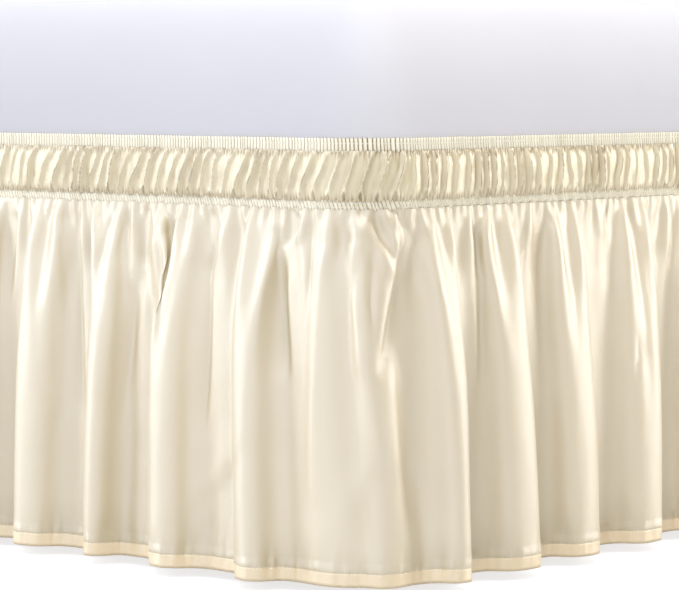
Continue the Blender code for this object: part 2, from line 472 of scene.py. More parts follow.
def spaced_places(at: np.ndarray, spacing: np.ndarray) -> np.ndarray:
    """Places along a line, as far apart as asked at each spot.

    Args:
        at: the line's spots, close together.
        spacing: the spacing wanted at each of them.

    Returns:
        An even number of places, from the first spot up to but without the last.
    """
    count = np.concatenate([[0], np.cumsum(np.diff(at) / ((spacing[1:] + spacing[:-1]) / 2))])
    number = 2 * round(count[-1] / 2)
    return np.interp(np.arange(number) * count[-1] / number, count, at)


def graded_columns(length: float, fine: float, coarse: float, half_fine: float) -> np.ndarray:
    """Places round a ring, close together near its start and wider apart elsewhere.

    Args:
        length: the length of the ring.
        fine: the spacing near the start.
        coarse: the spacing elsewhere.
        half_fine: how far the fine stretch reaches each way.

    Returns:
        An even number of places, from 0 up to but without the length.
    """
    at = np.linspace(0, length, RING_SPOTS)
    from_start = np.minimum(at, length - at)
    widening = smooth_step((from_start - half_fine) / WIDENING_LENGTH)
    return spaced_places(at, fine + (coarse - fine) * widening)


# ------------------------------------------------------------------ the folds of the drop


@dataclass(frozen=True)
class Fold:
    """One fold: where its crest and the valley after it run, and how far out they stand.

    The floor is the flat share of the way from the valley to the next crest.
    """

    crest_top: float
    crest_hem: float
    crest_out: float
    valley_top: float
    valley_hem: float
    valley_out: float
    floor: float = 0.0


PLACED_FOLDS = (
    Fold(-0.380, -0.387, 0.036, -0.327, -0.337, 0.007, 0.35),
    Fold(-0.289, -0.294, 0.036, -0.250, -0.272, 0.009, 0.50),
    Fold(-0.215, -0.205, 0.038, -0.166, -0.165, 0.012, 0.50),
    Fold(-0.115, -0.099, 0.038, -0.078, -0.070, 0.010, 0.20),
    Fold(-0.040, -0.022, 0.014, -0.024, -0.006, 0.010),
    Fold(-0.010, 0.0105, 0.021, 0.027, 0.036, 0.011),
    Fold(0.062, 0.069, 0.040, 0.098, 0.098, 0.009),
    Fold(0.148, 0.161, 0.041, 0.186, 0.203, 0.008),
    Fold(0.246, 0.252, 0.038, 0.284, 0.300, 0.007),
    Fold(0.362, 0.353, 0.038, 0.388, 0.396, 0.007),
)


@dataclass
class FoldLayout:
    """The main folds all the way round, as the solid drop has them."""

    side: MattressSide
    drop: float
    free_folds: int = 50
    seed: int = 11
    width: tuple[float, float] = (0.78, 1.22)
    lean: float = 0.014
    valley_share: tuple[float, float] = (0.42, 0.60)
    crest_out: tuple[float, float] = (0.032, 0.041)
    valley_out: tuple[float, float] = (0.006, 0.010)
    corner_crest_out: float = 0.016
    corner_quiet: float = 0.050
    gather_out: float = 0.0045
    growth: float = 0.085
    steepness: float = 0.45
    floor: tuple[float, float] = (0.0, 0.45)
    floor_rise: float = 0.14
    edge: float = 0.82

    def folds(self) -> list[Fold]:
        """The listed folds and the uneven ones round the rest of the bed."""
        draw = random.Random(self.seed)
        start = PLACED_FOLDS[-1].crest_hem
        room = self.side.perimeter + PLACED_FOLDS[0].crest_hem - start
        widths = [draw.uniform(*self.width) for _ in range(self.free_folds + 1)]
        widths = [width * room / sum(widths) for width in widths]
        made = list(PLACED_FOLDS)
        crest = start
        for width, width_after in zip(widths, widths[1:]):
            crest += width
            lean = draw.uniform(-self.lean, self.lean)
            valley = crest + width_after * draw.uniform(*self.valley_share)
            crest_out = draw.uniform(*self.crest_out)
            if self.side.corner_distance(crest) < self.corner_quiet:
                crest_out = self.corner_crest_out
            valley_out = draw.uniform(*self.valley_out)
            top = crest + lean
            valley_top, floor = valley + lean / 2, draw.uniform(*self.floor)
            made.append(Fold(top, crest, crest_out, valley_top, valley, valley_out, floor))
        return made

    def lines(self) -> np.ndarray:
        """(top, hem, out) of each crest and valley in turn, with the first again at the end."""
        rows = []
        for fold in self.folds():
            rows.append((fold.crest_top, fold.crest_hem, fold.crest_out))
            rows.append((fold.valley_top, fold.valley_hem, fold.valley_out))
        top, hem, out = rows[0]
        rows.append((top + self.side.perimeter, hem + self.side.perimeter, out))
        return np.array(rows)

    def curve(self, share: float, steps: int = 16) -> tuple[np.ndarray, np.ndarray]:
        """The folded line at one height.

        Args:
            share: the share of the drop above that height.
            steps: points on each flank.

        Returns:
            Distances along and out, once round the ring.
        """
        lines = self.lines()
        at = lines[:, 0] + (lines[:, 1] - lines[:, 0]) * share
        full = 1 - math.exp(-self.drop / self.growth)
        grown = (1 - math.exp(-self.drop * share / self.growth)) / full
        out = self.gather_out + (lines[:, 2] - self.gather_out) * grown
        step = np.arange(steps) / steps
        steep = step + self.steepness * np.sin(math.tau * step) / math.tau
        along = at[:-1, None] + np.diff(at)[:, None] * steep
        # A crest runs down to a sharp edge, then a flat floor leads to the steep side of the next.
        change = np.zeros_like(along)
        change[0::2] = (1 - np.cos(self.edge * math.pi * step)) / (1 - math.cos(self.edge * math.pi))
        floors = np.array([fold.floor for fold in self.folds()])[:, None]
        climb = np.clip((step - floors) / (1 - floors), 0.0, 1.0)
        climb = (1 - np.cos(math.pi * climb)) / 2
        rise = self.floor_rise * (floors > 0)
        change[1::2] = rise * step + climb * (1 - rise)
        return along.ravel(), (out[:-1, None] + np.diff(out)[:, None] * change).ravel()


# ------------------------------------------------------------------ the drop


@dataclass(frozen=True)
class GatherLevel:
    """Gathers that start as one size and, lower down, have merged into fewer and wider ones."""

    merged: int
    reach: float
    depth: float
    fade: float
    roundness: float


@dataclass(frozen=True)
class Gathers:
    """The fine gathers under an elastic, which merge two by two as they run down."""

    pitch: float = 0.0160
    wander: float = 2.6
    strength: tuple[float, float] = (0.75, 0.45)
    stretch: float = 0.45
    rise: float = 0.6
    pinch_out: float = 0.0034
    pinch_reach: float = 0.0021
    pinch_fade: float = 0.020
    pinch_strength: tuple[float, float] = (0.85, 0.30)
    pinch_roundness: float = 1.3
    levels: tuple[GatherLevel, ...] = (
        GatherLevel(1, 0.0018, 0.000, 0.015, 0.7),
        GatherLevel(2, 0.0024, 0.016, 0.018, 0.9),
        GatherLevel(4, 0.0024, 0.036, 0.034, 1.4),
    )

    def reach(
        self,
        draw: np.random.Generator,
        at: np.ndarray,
        depths: np.ndarray,
        length: float,
    ) -> np.ndarray:
        """How far the gathers stand out or in.

        Args:
            draw: the random source.
            at: each column's place on the flat strip.
            depths: how far below the elastic each row lies.
            length: the length of the strip.

        Returns:
            The (rows, columns) reach.
        """
        pitch = length / (4 * round(length / self.pitch / 4))
        phase = math.tau * at / pitch + self.wander * soft_noise(draw, at, 3 * pitch, length)
        stretch = 1 + self.stretch * soft_noise(draw, at, 2.3 * pitch, length)
        usual, change = self.strength
        found = np.zeros((len(depths), len(at)))
        for level in self.levels:
            strength = usual + change * soft_noise(draw, at, 1.7 * pitch * level.merged, length)
            wave = -1 + 2 * np.abs(np.sin(phase / level.merged / 2)) ** level.roundness
            depth = np.maximum(depths, 0.0)[:, None] / stretch
            before = np.minimum(depth - level.depth, 0.0) / (self.rise * level.depth + 1e-9)
            after = np.maximum(depth - level.depth, 0.0) / level.fade
            found += level.reach * strength * wave * np.exp(-(before**2) - after**2)
        return found

    def pinch(self, draw: np.random.Generator, at: np.ndarray, length: float) -> np.ndarray:
        """How far out the cloth stands where the elastic pinches it, before it settles.

        Args:
            draw: the random source.
            at: each column's place on the flat strip.
            length: the length of the strip.

        Returns:
            A distance out for each column.
        """
        pitch = length / round(length / self.pitch)
        phase = math.tau * at / pitch + self.wander * soft_noise(draw, at, 2.6 * pitch, length)
        usual, change = self.pinch_strength
        strength = usual + change * soft_noise(draw, at, 1.3 * pitch, length)
        puff = 1 - 2 * np.abs(np.sin(phase / 2)) ** self.pinch_roundness
        return self.pinch_out + self.pinch_reach * strength * puff


@dataclass(frozen=True)
class Crease:
    """A main crease: its ends' heights, its places along at top, middle and low end, and its form.

    Its edge is sharp and the cloth comes back out slowly on the side that the width points to.
    """

    top: float
    low: float
    along_top: float
    along_middle: float
    along_low: float
    width: float
    depth: float
    lip: float
    edge: float = 1.3
    recovery: float = 1.9
    lip_place: float = 1.9
    lip_width: float = 1.5

    def reach(self, along: np.ndarray, height: np.ndarray) -> np.ndarray:
        """How far the crease moves points out or in.

        Args:
            along: distances round the mattress side.
            height: heights above the floor.

        Returns:
            The reach at each point.
        """
        share = np.clip((self.top - height) / (self.top - self.low), 0.0, 1.0)
        middle = share * (1 - share) * 4
        line = self.along_top + (self.along_low - self.along_top) * share
        line = line + (self.along_middle - (self.along_top + self.along_low) / 2) * middle
        across = (along - line) / self.width
        trough = np.exp(-np.where(across > 0, across / self.recovery, (self.edge * across) ** 2))
        ridge = np.exp(-(((across + self.lip_place) / self.lip_width) ** 2))
        return (self.lip * ridge - self.depth * trough) * np.sqrt(middle)


CREASES: tuple[Crease, ...] = (
    # Left of the corner: two small curls, the hook and the edges where crests meet flat cloth.
    Crease(0.326, 0.272, -0.248, -0.250, -0.253, -0.0040, 0.0044, 0.0010),
    Crease(0.325, 0.270, -0.166, -0.161, -0.169, -0.0040, 0.0060, 0.0014),
    Crease(0.329, 0.296, -0.074, -0.066, -0.083, -0.0036, 0.0060, 0.0016),
    Crease(0.312, 0.185, -0.086, -0.081, -0.074, -0.0060, 0.0085, 0.0014),
    Crease(0.316, 0.233, -0.420, -0.424, -0.426, -0.0040, 0.0036, 0.0008),
    Crease(0.320, 0.135, -0.337, -0.333, -0.329, -0.0040, 0.0036, 0.0000),
    Crease(0.256, 0.130, -0.259, -0.264, -0.272, -0.0056, 0.0030, 0.0004),
    Crease(0.283, 0.130, -0.169, -0.167, -0.171, -0.0046, 0.0044, 0.0006),
    # At the corner: the notch, the bright ridges that meet at it and the bends above the hem.
    Crease(0.329, 0.295, 0.023, 0.031, 0.034, 0.0038, 0.0060, 0.0016),
    Crease(0.312, 0.190, 0.034, 0.021, 0.006, 0.0066, 0.0085, 0.0022),
    Crease(0.322, 0.275, 0.004, 0.014, 0.026, 0.0050, 0.0030, 0.0030),
    Crease(0.304, 0.110, -0.013, -0.003, 0.008, 0.0075, -0.0050, 0.0000),
    Crease(0.300, 0.080, -0.034, -0.040, -0.042, 0.0100, -0.0030, 0.0000),
    Crease(0.228, 0.050, 0.023, 0.028, 0.036, 0.0100, 0.0034, 0.0016),
    Crease(0.110, 0.028, 0.006, -0.002, 0.009, 0.0070, 0.0030, 0.0018),
    Crease(0.107, 0.016, 0.039, 0.042, 0.045, 0.0080, 0.0026, 0.0000),
    # Right of the corner.
    Crease(0.313, 0.170, 0.125, 0.122, 0.120, 0.0046, 0.0036, 0.0010),
    Crease(0.203, 0.169, 0.334, 0.339, 0.330, 0.0040, 0.0030, 0.0010),
    # Faint slanting creases low on the left.
    Crease(0.131, 0.034, -0.089, -0.150, -0.191, 0.0110, 0.0018, 0.0008),
    Crease(0.072, 0.020, -0.139, -0.166, -0.186, 0.0080, 0.0012, 0.0006),
)


@dataclass
class GatheredDrop:
    """The gathered drop: one strip of satin cloth with its hem turned up."""

    side: MattressSide
    top: float
    hem: float
    fullness: float = 1.34
    fine: float = 0.0020
    coarse: float = 0.0060
    fine_reach: float = 0.42
    wide_column: float = 1.6
    settled_reach: float = 0.96
    settled_fade: float = 0.08
    tuck: float = 0.0016
    top_row: float = 0.0030
    low_row: float = 0.0089
    row_growth: float = 0.120
    split_rows: int = 9
    hem_depth: float = 0.012
    hem_rows: tuple[float, ...] = (0.0140, 0.0120, 0.0090, 0.0060, 0.0030, 0.0)
    hem_lap: float = 0.0011
    hem_turn: float = 0.0005
    hem_turn_in: float = 0.6
    gather_room: float = 0.060
    top_out: float = 0.0016
    least_out: tuple[float, float] = (0.0014, 0.0065)
    least_shaped: float = 0.0012
    pucker_pitch: float = 0.010
    pucker_depth: float = 0.0013
    pucker_fade: float = 0.010
    pucker_patch: float = 0.14
    pucker_strength: tuple[float, float] = (0.55, 0.45)
    home_hold: float = 0.0018
    home_from: float = 0.03
    home_fade: float = 0.09
    valley_hold: float = 6.0
    valley_width: float = 0.009
    softenings: int = 2
    steps: int = 900
    quick_share: int = 8
    seed: int = 5
    gathers: Gathers = Gathers()

    @property
    def drop(self) -> float:
        """The height of the drop."""
        return self.top - self.hem

    @property
    def cloth_length(self) -> float:
        """The length of the strip before it is gathered."""
        return self.side.perimeter * self.fullness

    def row_depths(self) -> np.ndarray:
        """How far down the cloth each row of points lies, from just behind the elastic."""
        low = self.drop - np.array(self.hem_rows)
        at = np.linspace(-self.tuck, low[0], DROP_SPOTS)
        spacing = self.top_row + (self.low_row - self.top_row) * smooth_step(at / self.row_growth)
        return np.concatenate([spaced_places(at, spacing), low])

    def settled_share(self, cloth_at: np.ndarray) -> np.ndarray:
        """How far the fine gathers settle by themselves.

        Args:
            cloth_at: each column's place on the flat strip.

        Returns:
            A share for each column: 1 near the corner, 0 where the gathers are shaped.
        """
        from_start = np.minimum(cloth_at, self.cloth_length - cloth_at)
        edge = self.settled_reach * self.fine_reach * self.fullness
        return 1 - smooth_step((from_start - edge) / self.settled_fade)

    def start_shape(self, depths: np.ndarray, cloth_at: np.ndarray) -> np.ndarray:
        """The cloth before it settles, with the main folds alone.

        Args:
            depths: how far down each row lies.
            cloth_at: each column's place on the flat strip.

        Returns:
            The (rows, columns, 3) points.
        """
        layout = FoldLayout(self.side, self.drop, gather_out=self.top_out)
        perimeter = self.side.perimeter
        share = self.settled_share(cloth_at)
        draw = np.random.default_rng(self.seed + 1)
        pinched = share * (self.gathers.pinch(draw, cloth_at, self.cloth_length) - self.top_out)
        rows = []
        for depth in depths:
            fade = math.exp(-((max(depth, 0.0) / self.gathers.pinch_fade) ** 2))
            along, out = layout.curve(max(depth, 0.0) / self.drop)
            along = np.append(along, along[0] + perimeter)
            out = np.append(out, out[0])
            length = np.concatenate([[0], np.cumsum(np.hypot(np.diff(along), np.diff(out)))])
            # Columns keep their share of the folded line, counted from the middle of the corner.
            zero = np.interp(0.0, along, length)
            at = (zero + cloth_at / self.cloth_length * length[-1]) % length[-1]
            stand = np.interp(at, length, out) + fade * pinched
            rows.append(self.side.row(np.interp(at, length, along), stand, self.top - depth))
        return np.array(rows)

    def valley_share(self, start: np.ndarray, depths: np.ndarray) -> np.ndarray:
        """How much harder the cloth is held in its valleys, so that their edges stay clear.

        Args:
            start: the (rows, columns, 3) points before the cloth settles.
            depths: how far down each row lies.

        Returns:
            A factor for each point, 1 away from the valleys.
        """
        lines = FoldLayout(self.side, self.drop).lines()
        valleys = lines[1::2]
        along = self.side.chart(start)
        shares = np.ones(along.shape)
        half = self.side.perimeter / 2
        for row, depth in enumerate(depths):
            share = max(depth, 0.0) / self.drop
            places = valleys[:, 0] + (valleys[:, 1] - valleys[:, 0]) * share
            apart = (along[row][:, None] - places[None, :] + half) % (2 * half) - half
            near = np.exp(-((np.abs(apart).min(axis=1) / self.valley_width) ** 2))
            shares[row] += (self.valley_hold - 1) * near
        return shares

    def settled(self, depths: np.ndarray, cloth_at: np.ndarray) -> np.ndarray:
        """The cloth as it hangs, before its fine gathers.

        Args:
            depths: how far down each row lies.
            cloth_at: each column's place on the flat strip.

        Returns:
            The (rows, columns, 3) points.
        """
        start = self.start_shape(depths, cloth_at)
        spacing = np.diff(np.append(cloth_at, self.cloth_length))
        # Near the elastic, shaped gathers take up the width that the main folds don't.
        opened = smooth_step(depths / self.gather_room)[:, None]
        opened = np.maximum(opened, self.settled_share(cloth_at))
        across = spacing * (1 / self.fullness + (1 - 1 / self.fullness) * opened)
        hold = self.home_hold * smooth_step((depths - self.home_from) / self.home_fade)[:, None]
        hold = (hold * self.valley_share(start, depths))[..., None]
        ring = ClothRing(
            start,
            across,
            np.diff(depths),
            pinned=(0, 1),
            heavy_rows=len(self.hem_rows),
            home=start.astype(np.float32),
            home_hold=hold.astype(np.float32),
        )
        low, high = self.least_out
        least = (low + (high - low) * np.clip(depths / self.drop, 0, 1))[:, None].astype(np.float32)
        steps = self.steps
        ring.settle(steps, lambda points: self.side.push_out(points, least))
        points = ring.points.astype(float)
        for _ in range(self.softenings):
            points = (np.roll(points, 1, 1) + 2 * points + np.roll(points, -1, 1)) / 4
            points[1:-1] = (points[:-2] + 6 * points[1:-1] + points[2:]) / 8
        return points

    @staticmethod
    def halfway(rows: np.ndarray) -> np.ndarray:
        """Sets a point on a smooth curve between each two neighbours of every row.

        Args:
            rows: (rows, columns, 3) points.

        Returns:
            The (rows, 2 * columns, 3) points.
        """
        before, after, next_after = (np.roll(rows, -shift, 1) for shift in (-1, 1, 2))
        middle = (9 * (rows + after) - before - next_after) / 16
        return np.stack([rows, middle], 2).reshape(rows.shape[0], -1, rows.shape[2])

    @staticmethod
    def outward(points: np.ndarray) -> np.ndarray:
        """The level direction out of the cloth.

        Args:
            points: (rows, columns, 3) points.

        Returns:
            A unit vector for each point.
        """
        run = np.roll(points, -1, 1) - np.roll(points, 1, 1)
        outward = np.stack([run[..., 1], -run[..., 0], np.zeros(run.shape[:2])], -1)
        return outward / (np.linalg.norm(outward, axis=-1, keepdims=True) + 1e-9)

    def shaped(self, points: np.ndarray, depths: np.ndarray, cloth_at: np.ndarray) -> np.ndarray:
        """Adds the fine gathers, the main creases and the hem's puckers.

        Args:
            points: settled (rows, columns, 3) points.
            depths: how far down each row lies.
            cloth_at: each column's place on the flat strip.

        Returns:
            The shaped points.
        """
        length = self.cloth_length
        outward = self.outward(points)
        draw = np.random.default_rng(self.seed)
        reach = self.gathers.reach(draw, cloth_at, depths, length)
        reach *= smooth_step((depths + self.tuck) / (2 * self.tuck))[:, None]
        reach *= 1 - self.settled_share(cloth_at)
        along = self.side.chart(points)
        for crease in CREASES:
            reach += crease.reach(along, points[..., 2])
        pucker = soft_noise(draw, cloth_at, self.pucker_pitch / 2, length)
        usual, change = self.pucker_strength
        patchy = usual + change * soft_noise(draw, cloth_at, self.pucker_patch, length)
        above_hem = self.drop - depths
        near = np.exp(-(((above_hem - self.hem_depth) / self.pucker_fade) ** 2))[:, None]
        shaped = points + outward * (reach + near * pucker * patchy * self.pucker_depth)[..., None]
        self.side.push_out(shaped, self.least_shaped)
        return shaped

    def turned_up(self, points: np.ndarray) -> np.ndarray:
        """The rows of cloth turned up behind the hem.

        Args:
            points: the (rows, columns, 3) points of the front, down to the hem's edge.

        Returns:
            Three more rows, from the hem's edge upwards.
        """
        inward = -self.outward(points[-1:])[0] * self.hem_lap
        rows = [points[-1] + inward * self.hem_turn_in + (0, 0, self.hem_turn)]
        rows += [points[-number] + inward for number in (4, 5)]
        return np.array(rows)

    def build(self, material: bpy.types.Material) -> bpy.types.Object:
        """Args:
            material: the satin finish.

        Returns:
            The drop's object.
        """
        length = self.cloth_length
        depths = self.row_depths()
        cloth_at = graded_columns(length, self.fine, self.coarse, self.fine_reach * self.fullness)
        points = self.settled(depths, cloth_at)
        # Where the columns are wide apart, the rows of the fine gathers have one more between two.
        split = self.split_rows
        ahead = np.append(cloth_at[1:], length)
        wide = ahead - cloth_at > self.wide_column * self.fine
        kept = np.stack([np.ones_like(wide), wide], 1).ravel()
        fine_at = np.stack([cloth_at, (cloth_at + ahead) / 2], 1).ravel()[kept]
        upper = self.shaped(self.halfway(points[:split])[:, kept], depths[:split], fine_at)
        lower = self.shaped(points, depths, cloth_at)[split:]
        lower = np.concatenate([lower, self.turned_up(lower)])
        turn_up = self.drop + np.array([self.hem_turn, self.hem_rows[3], self.hem_rows[2]])
        low_depths = np.concatenate([depths[split:], turn_up])
        flat = [flat_places(fine_at, -depths[:split]), flat_places(cloth_at, -low_depths)]
        columns = len(fine_at)
        base = split * columns
        faces = ring_quads(split, columns).tolist()
        faces += self.step_faces(base - columns, base, wide)
        faces += (base + ring_quads(lower.shape[0], len(cloth_at))).tolist()
        points = np.concatenate([upper.reshape(-1, 3), lower.reshape(-1, 3)])
        flat = np.concatenate(flat)
        piece = make_piece("drop_cloth", points, faces, material, flat)
        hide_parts("skirt_drop")
        return piece

    @staticmethod
    def step_faces(fine: int, coarse: int, wide: np.ndarray) -> list[list[int]]:
        """Faces between a row with extra points and the row below it.

        Args:
            fine: number of the first point of the finer row.
            coarse: number of the first point of the coarser row.
            wide: whether the finer row has an extra point after each point of the coarser row.

        Returns:
            The point numbers of each face, five where there is an extra point.
        """
        firsts = np.concatenate([[0], np.cumsum(1 + wide.astype(int))]).tolist()
        faces = []
        for column, extra in enumerate(wide.tolist()):
            after = (column + 1) % len(wide)
            upper, upper_after = firsts[column], firsts[column + 1] % firsts[-1]
            face = [fine + upper, coarse + column, coarse + after, fine + upper_after]
            faces.append([*face, fine + upper + 1] if extra else face)
        return faces


# ------------------------------------------------------------------ the heading


@dataclass
class ShirredElastic:
    """An elastic under tightly gathered cloth: fine upright ribs, sewn through."""

    name: str
    node: str
    side: MattressSide
    slant: float
    free_top: bool
    seams: tuple[float, ...]
    seed: int
    rib_pitch: float = 0.0034
    points_per_rib: int = 5
    rib_roundness: float = 0.7
    rib_strength: tuple[float, float] = (0.65, 1.0)
    drift: float = 0.35
    drift_length: float = 0.009
    row_shares: tuple[float, ...] = (0.0, 0.06, 0.20, 0.38, 0.50, 0.62, 0.80, 0.94, 1.0)
    gap_out: float = 0.0013
    back_out: float = 0.0005
    edge_share: float = 0.06
    edge_puff: float = 0.55
    edge_rise: tuple[float, float] = (0.0010, -0.0008)
    back_drop: float = 0.0006
    seam_depth: float = 0.0005
    seam_width: float = 0.09
    ragged: float = 0.0011
    ragged_ribs: float = 1.4
    stitch_reach: float = 0.34
    stitch_dip: float = 0.0006
    stitch_ring: tuple[tuple[float, float], ...] = (
        (0.0, 0.00042),
        (0.00045, 0.0),
        (0.0, -0.00042),
        (-0.0003, 0.0),
    )
    stitch_out: float = 0.0002
    spare_height: float = 1.15
    fullness: float = 1.3

    @property
    def span(self) -> tuple[float, float, float]:
        """The height of its top, how far it reaches down, and how far out its front stands."""
        low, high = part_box(self.node)
        return high.z, high.z - low.z, high.x - self.side.half_width

    def ribs(self) -> tuple[np.ndarray, np.ndarray, np.ndarray]:
        """Works out the uneven ribs.

        Returns:
            Each column's place along, how much of a rib it is from 0 to 1, and its rib's strength.
        """
        perimeter = self.side.perimeter
        count = round(perimeter / self.rib_pitch)
        columns = count * self.points_per_rib
        draw = np.random.default_rng(self.seed)
        at = np.arange(columns) / columns * perimeter
        drift = soft_noise(draw, at, self.drift_length, perimeter) * self.rib_pitch * self.drift
        rib = np.sin(np.pi * np.arange(columns) / self.points_per_rib) ** 2
        strength = np.repeat(draw.uniform(*self.rib_strength, count), self.points_per_rib)
        return at + drift, rib**self.rib_roundness, strength

    def build(self, material: bpy.types.Material) -> bpy.types.Object:
        """Makes the elastic in its solid's place.

        Args:
            material: the shirred finish.

        Returns:
            The elastic's object.
        """
        top, height, front = self.span
        at, rib, strength = self.ribs()
        draw = np.random.default_rng(self.seed + 1)
        patch, perimeter = self.rib_pitch * self.ragged_ribs, self.side.perimeter
        rough_top = soft_noise(draw, at, patch, perimeter) * self.ragged
        rough_low = soft_noise(draw, at, patch, perimeter) * self.ragged
        ends = dict(zip((0.0, 1.0), self.edge_rise))
        rows = []
        if self.free_top:
            rows.append(self.side.row(at, self.back_out, top - self.back_drop))
        for share in self.row_shares:
            seam = sum(math.exp(-(((share - place) / self.seam_width) ** 2)) for place in self.seams)
            out = self.gap_out + (front - self.gap_out) * rib * strength - self.seam_depth * seam * rib
            # The ribs flatten towards both edges, which are a little ragged.
            end = min(share, 1 - share) / self.edge_share
            if end < 1:
                puff = self.edge_puff + (1 - self.edge_puff) * end
                out = self.gap_out + (out - self.gap_out) * puff
            level = top - share * height
            for rough, near in ((rough_top, 1 - share), (rough_low, share)):
                level = level + rough * near**4 * (rib - 0.5)
            level = level + ends.get(share, 0.0) * (rib - 0.7)
            lean = self.slant * (share - 0.5) * height
            rows.append(self.side.row(at + lean, np.minimum(out, front), level))
        points = np.array(rows)
        quads = ring_quads(len(rows), len(at))
        # The finish counts the ribs along its first coordinate.
        counted = np.arange(len(at)) / self.points_per_rib * self.rib_pitch
        flat = flat_places(counted, points[..., 2])
        piece = make_piece(self.name, points, quads, material, flat)
        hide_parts(self.node)
        return piece

    def sew(self, material: bpy.types.Material) -> bpy.types.Object:
        """Makes the rows of stitches that hold the gathers on the elastic.

        Args:
            material: the thread's finish.

        Returns:
            The stitches, joined as one object.
        """
        top, height, front = self.span
        at = self.ribs()[0]
        middles = at[self.points_per_rib // 2 :: self.points_per_rib]
        reach = self.rib_pitch * self.stitch_reach
        out = front - self.seam_depth + self.stitch_out
        around = len(self.stitch_ring)
        points, faces = [], []
        for place in self.seams:
            level = top - place * height
            lean = self.slant * (place - 0.5) * height
            for middle in middles + lean:
                first = len(points)
                last = first + around + 1
                points.append((middle - reach, out - self.stitch_dip, level))
                points += [(middle, out + step, level + rise) for step, rise in self.stitch_ring]
                points.append((middle + reach, out - self.stitch_dip, level))
                for turn in range(around):
                    here, after = first + 1 + turn, first + 1 + (turn + 1) % around
                    faces += [(first, after, here), (last, here, after)]
        placed = self.side.row(*np.array(points).T)
        return make_piece(f"{self.name}_stitches", placed, faces, material)


@dataclass
class PuffedRuffle:
    """The band of cloth that puffs out between the two elastics, in thin ridges and broad flats."""

    side: MattressSide
    fine: float = 0.00086
    coarse: float = 0.0021
    fine_reach: float = 0.44
    rows: int = 25
    tuck: float = 0.0016
    fullness: float = 1.4
    spare_height: float = 1.08
    pitch: float = 0.0136
    wander: float = 0.42
    bow: float = 0.0020
    ridge_width: float = 0.0013
    ridge_reach: float = 0.0044
    fork_height: float = 0.0130
    puff_out: float = 0.0022
    tilt: float = 0.0012
    dent: float = 0.0008
    edge_out: float = 0.0022
    rib_pitch: float = 0.0034
    rib_reach: float = 0.0011
    rib_fade: float = 0.0050
    ridge_strength: tuple[float, float] = (0.45, 1.25)
    fork_strength: tuple[float, float] = (0.2, 1.0)
    wander_length: float = 0.040
    bow_length: float = 0.024
    dent_length: float = 0.0055
    dent_rows: int = 4
    roundness: float = 0.6
    ridge_sharpness: float = 1.8
    # How much of a ridge stands at the elastics, and how much comes with the puff between them.
    ridge_swell: tuple[float, float] = (0.35, 0.65)
    # Each lean: how far, round which place along, and how far it reaches each way.
    leans: tuple[tuple[float, float, float], ...] = ((0.015, -0.27, 0.24), (0.006, 0.0, 0.10))
    seed: int = 21

    def lean(self, along: np.ndarray) -> np.ndarray:
        """How far the ridges lean along the side, from their lower to their upper end."""
        return sum(lean * np.exp(-(((along - place) / reach) ** 4)) for lean, place, reach in self.leans)

    def shape(self, along: np.ndarray, top: float, height: float) -> np.ndarray:
        """The ridges and the flats between them.

        Args:
            along: each column's distance along the side.
            top: the height of the first row.
            height: how far the last row lies below it.

        Returns:
            The (rows, columns, 3) points.
        """
        perimeter = self.side.perimeter
        signed = (along + perimeter / 2) % perimeter - perimeter / 2
        draw = np.random.default_rng(self.seed)
        wander = self.wander * soft_noise(draw, along, self.wander_length, perimeter)
        bow = self.bow * soft_noise(draw, along, self.bow_length, perimeter)
        count = round(perimeter / self.pitch)
        pitch = perimeter / count
        strengths = draw.uniform(*self.ridge_strength, count)
        forks = draw.uniform(*self.fork_strength, (2, count))
        tilts = draw.uniform(-1.0, 1.0, count)
        dents = [soft_noise(draw, along, self.dent_length, perimeter) for _ in range(self.dent_rows)]
        fixed, swelling = self.ridge_swell
        rows = []
        for share in np.linspace(0, 1, self.rows):
            swell = math.sin(math.pi * share) ** self.roundness
            lean = self.lean(signed) * (0.5 - share) + bow * math.sin(math.tau * share)
            turn = (along - lean) / pitch + wander
            nearest = np.floor(turn + 0.5).astype(int) % count
            off = np.abs(turn - np.floor(turn + 0.5)) * pitch
            # Each ridge forks towards its ends, into the fine ribs of the elastics.
            end = min(share, 1 - share) * height
            spread = pitch / 4 * (1 - smooth_step(end / self.fork_height)) * forks[round(share)][nearest]
            ridge = np.exp(-((np.abs(off - spread) / self.ridge_width) ** self.ridge_sharpness))
            rib = np.sin(math.tau * along / self.rib_pitch) * math.exp(-((end / self.rib_fade) ** 2))
            tilt = tilts[np.floor(turn).astype(int) % count] * (turn - np.floor(turn) - 0.5)
            level = share * (len(dents) - 1.001)
            first, part = int(level), smooth_step(level - int(level))
            dent = dents[first] * (1 - part) + dents[first + 1] * part
            out = self.edge_out + swell * (self.puff_out + self.tilt * tilt + self.dent * dent)
            out = out + self.ridge_reach * strengths[nearest] * ridge * (fixed + swelling * swell)
            out = out + self.rib_reach * rib
            rows.append(self.side.row(along, out, top - share * height))
        return np.array(rows)

    def build(self, material: bpy.types.Material) -> bpy.types.Object:
        """Args:
            material: the satin finish.

        Returns:
            The ruffle's object.
        """
        low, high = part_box("heading_ruffle")
        top = high.z + self.tuck
        height = top - low.z + self.tuck
        along = graded_columns(self.side.perimeter, self.fine, self.coarse, self.fine_reach)
        points = self.shape(along, top, height)
        cloth_down = np.linspace(0, height * self.spare_height, self.rows)
        flat = flat_places(along * self.fullness, -cloth_down)
        quads = ring_quads(*points.shape[:2])
        piece = make_piece("ruffle_cloth", points, quads, material, flat)
        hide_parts("heading_ruffle")
        return piece


# ------------------------------------------------------------------ the bed


